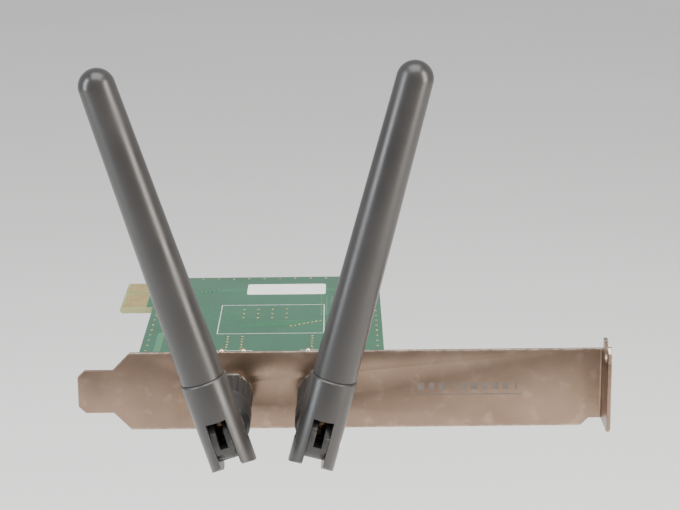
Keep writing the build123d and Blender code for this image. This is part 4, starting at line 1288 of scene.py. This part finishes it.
def solder_side_tracks():
    """Fine and broad tracks from the contacts across the board, four from back to front, and one supply."""
    strips = []
    for i in range(8):
        start_back = FIRST_CONTACT + i * CONTACT_PITCH
        end_back = 27 + 0.6 * i
        path = jogged_across(start_back, CONTACT_END, 4 + 0.5 * i, 34 + i, end_back - start_back)
        strips.append(track(path, SIGNAL))
    for i in range(3):
        back = FIRST_CONTACT + (9 + i) * CONTACT_PITCH
        strips.append(track(jogged_across(back, CONTACT_END, 9 + 2 * i, 48, 3), BUS))
    for i in range(4):
        strips.append(track(jogged(45 + 1.3 * i, 20, 32 + i, 52, -3), SIGNAL))
    strips.append(track(jogged(4, 8, 22, 40, 3), SUPPLY))
    return join("solder_side_tracks", strips)


def solder_side():
    """The face that looks up: joints of the jacks' legs, tracks, plated holes and a blank label."""
    on_solder_side(solder_side_tracks(), track_green)
    left, right = jack_across["left"], jack_across["right"]
    joints_at = [(across, JACK_BACK) for across in (left, right)]
    joints_at += [(across + dx, JACK_BACK + dy) for across in (left, right) for dx, dy in JACK_LEG_PLACES]
    on_solder_side(repeat(turn("joint", JOINT, 32), "solder_joints", joints_at), solder)
    holes = []
    for across, back in row((1.5, 1.2), (3.5, 0), 16):
        if min(abs(across - left), abs(across - right)) > CLEAR_OF_JACK:
            holes.append((across, back))
    holes += edge_holes + row((HOLE_INSET, 5), (0, 4), 10)
    holes += row((34.8, 27), (1, 0.6), 8) + row((48.6, FIRST_CONTACT + 12), (0, 1), 3)
    for across in (left - 1.7, left + 1.7, right - 1.7, right + 1.7):
        holes += row((across, 9), (0, 2), 6)
    for i in range(4):
        holes += row((23 + 3.5 * i, 34), (0, 3.5), 3)
    on_solder_side(vias("solder_side_vias", holes), gold)
    lines = printed_box((left, JACK_OUTLINE_BACK), JACK_OUTLINE)
    lines += printed_box((right, JACK_OUTLINE_BACK), JACK_OUTLINE)
    lines += printed_box(SHIELD_PLACE, SHIELD_OUTLINE)
    on_solder_side(join("solder_side_print", lines), white_print)
    label = soften(block("blank_label", LABEL_SIZE, LABEL_PLACE, LABEL_CORNER, 5), LABEL_ROUND, 1)
    on_solder_side(label, label_paper)


def component_side_tracks():
    """Lines to the jacks, the supply, and short tracks at the memory chip, the contacts and the resistors."""
    left, right = jack_across["left"], jack_across["right"]
    paths = [
        (jogged(left, 8.4, 18.5, 22.2, 2.2), RF_LINE),
        (jogged(right, 8.4, 16.5, 22.2, -4.2), RF_LINE),
        ([(10.5, 36.8), (10.5, 42.0)], 2.4),  # supply: regulator to inductor
        ([(13.2, 47.0), (15.4, 49.2), (19.0, 49.2)], 1.4),  # inductor to tantalum capacitors
        ([(5.0, 50.8), (6.8, 50.8), (10.4, 47.2), (11.0, 47.2)], 1.0),  # ceramic capacitors to inductor
    ]
    for i in range(4):
        across = MEMORY_PLACE[0] + (i - 1.5) * MEMORY_PITCH
        paths.append((jogged(across, 51.2, 48.6 - 0.3 * i, 44.2, -1.2), SIGNAL))
        paths.append((jogged(across, 56.8, 59.5 + 0.5 * i, 65, 1.5), SIGNAL))
    for i in range(6):
        back = FIRST_CONTACT + i * CONTACT_PITCH
        aside = back + 1.4 - 0.2 * i
        paths.append(([(CONTACT_END, back), (1.2, back), (2.6, aside), (3.3, aside)], DATA))
    for i in range(4):
        across = FIRST_RESISTOR[0] + RESISTOR_PITCH[0] * i
        paths.append((jogged(across, 49.2, 46.8, 44.3, 0.8), DATA))
        paths.append((jogged(across, 53.8, 58.6, 66, -1.4), DATA))
    return join("component_side_tracks", [track(under(path), width) for path, width in paths])


PAD = 0.04  # a solder pad's thickness, half of it in the board
memory_legs_at = row((MEMORY_PLACE[0] - 1.5 * MEMORY_PITCH, MEMORY_PLACE[1]), (MEMORY_PITCH, 0), 4)
PAD_PAIRS = [  # the parts' places, the size of a pad, and how far across and back it stands from the middle
    (ceramic_places, (0.9, 1.0), (0.95, 0)),
    (resistor_places, (1.0, 0.9), (0, 0.95)),
    (TANTALUM_PLACES, (1.3, 2.4), (1.75, 0)),
    ([INDUCTOR_PLACE], (3.0, 1.5), (0, 2.4)),
    (memory_legs_at, (0.6, 1.5), (0, 2.7)),
]
REGULATOR_PADS = ((1.1, 2.0), (3.4, 2.0), 2.9)  # a leg's, the tab's, and how far back from the middle
PRINTED_BOXES = [
    (MEMORY_PLACE, (6.2, 7.8)),
    (REGULATOR_PLACE, (7.4, 9.0)),
    (INDUCTOR_PLACE, (6.2, 7.4)),
    (TANTALUM_PLACES[0], (5.6, 3.5)),
    (TANTALUM_PLACES[1], (5.6, 3.5)),
    ((39.55, 51.5), (7.6, 6.8)),  # round the resistors
]
DOT_RADIUS = 0.35
DOT_FROM_MEMORY = (-3.6, -3.4)


def solder_pads():
    pads = []
    for places, size, (aside, behind) in PAD_PAIRS:
        for across, back in under(places):
            for way in (-1, 1):
                pads.append(block("pad", (*size, PAD), (across + way * aside, back + way * behind, 0)))
    leg_pad, tab_pad, away = REGULATOR_PADS
    ((across, back),) = under([REGULATOR_PLACE])
    for leg_across, leg_back in row((across - REGULATOR_PITCH, back + away), (REGULATOR_PITCH, 0), 3):
        pads.append(block("pad", (*leg_pad, PAD), (leg_across, leg_back, 0)))
    pads.append(block("pad", (*tab_pad, PAD), (across, back - away, 0)))
    return join("solder_pads", pads)


def component_side_print():
    lines = []
    for place, size in PRINTED_BOXES:
        lines += printed_box(*under([place]), size)
    dot = turn("dot", [(DOT_RADIUS, -PRINT_RISE), (DOT_RADIUS, PRINT_RISE)], 20)
    ((across, back),) = under([MEMORY_PLACE])
    lines.append(lift(dot, (across + DOT_FROM_MEMORY[0], back + DOT_FROM_MEMORY[1], 0)))
    return join("component_side_print", lines)


def component_side():
    """The face that looks down: lines from jacks to shield, short tracks, plated holes, pads and outlines."""
    on_component_side(component_side_tracks(), track_green)
    holes = []
    for side in SIDES:
        for aside in (-1.9, 1.9):
            holes += row((jack_across[side] + aside, 10), (0, 1.9), 5)
    holes += row((1.5, 6), (0, 4), 9) + edge_holes
    holes += row((16.2, 25), (0, 2.5), 3) + row((44.2, 24), (0, 2.5), 8)
    holes += row((8, 60.5), (1.6, 0), 6) + row((46.5, 55), (1.6, 0), 4)
    on_component_side(vias("component_side_vias", under(holes)), gold)
    on_component_side(solder_pads(), solder)
    on_component_side(component_side_print(), white_print)


solder_side()
component_side()
memory_chip()
voltage_regulator()
power_inductor()
tantalum_capacitors()
ceramic_capacitors()
chip_resistors()
shield_lid()


# ---- floor, lights and camera

def soft_light(name, place, aim, size, watts, colour):
    bpy.ops.object.light_add(type="AREA", location=place)
    light = newest(name)
    light.data.shape = "RECTANGLE"
    light.data.size, light.data.size_y = size
    light.data.energy = watts
    light.data.color = colour
    light.rotation_euler = (Vector(aim) - Vector(place)).to_track_quat("-Z", "Y").to_euler()
    return light


FLOOR_HEIGHT = -0.097  # below the lowest reach of a rod that hangs straight down
middle = (cad_low + cad_high) / 2
bpy.ops.mesh.primitive_grid_add(x_subdivisions=8, y_subdivisions=8, size=6, location=(0, 0, FLOOR_HEIGHT))
floor = newest("floor")
floor_paint, floor_tree, floor_inputs = new_finish("floor_paint")
dim, bright = (0.82, 0.81, 0.79), (0.86, 0.85, 0.83)
floor_tone = shades(floor_tree, clouds(floor_tree, 300), (LOW, dim), (HIGH, bright))
floor_tree.links.new(floor_tone, floor_inputs["Base Color"])
floor_inputs["Roughness"].default_value = 0.7
floor.data.materials.append(floor_paint)

world = bpy.data.worlds.new("studio")
bpy.context.scene.world = world
world.use_nodes = True
sky = world.node_tree.nodes["Background"].inputs
sky["Color"].default_value = (0.92, 0.93, 0.95, 1)
sky["Strength"].default_value = 0.8

WARM = (1.0, 0.93, 0.86)
COOL = (0.90, 0.95, 1.0)
soft_light("right_light", (0.34, -0.22, 0.16), middle, (0.16, 0.5), 4.2, WARM)
soft_light("left_light", (-0.5, -0.16, 0.18), middle, (0.12, 0.45), 2.8, COOL)
soft_light("top_light", (-0.06, -0.12, 0.55), middle, (0.5, 0.4), 4.0, (1, 1, 1))

CAMERA_PLACE = Vector((-0.059, -0.417, 0.148))
CAMERA_AIM = middle + Vector((0, 0, -0.009))
CAMERA_ROLL = -0.6
LENS = 104
SENSOR = 36
bpy.ops.object.camera_add(location=CAMERA_PLACE)
camera = newest("view")
camera.rotation_euler = (CAMERA_AIM - CAMERA_PLACE).to_track_quat("-Z", "Y").to_euler()
camera.rotation_euler.rotate_axis("Z", radians(CAMERA_ROLL))
camera.data.lens = LENS
camera.data.sensor_width = SENSOR
camera.data.clip_start = 0.01
bpy.context.scene.camera = camera
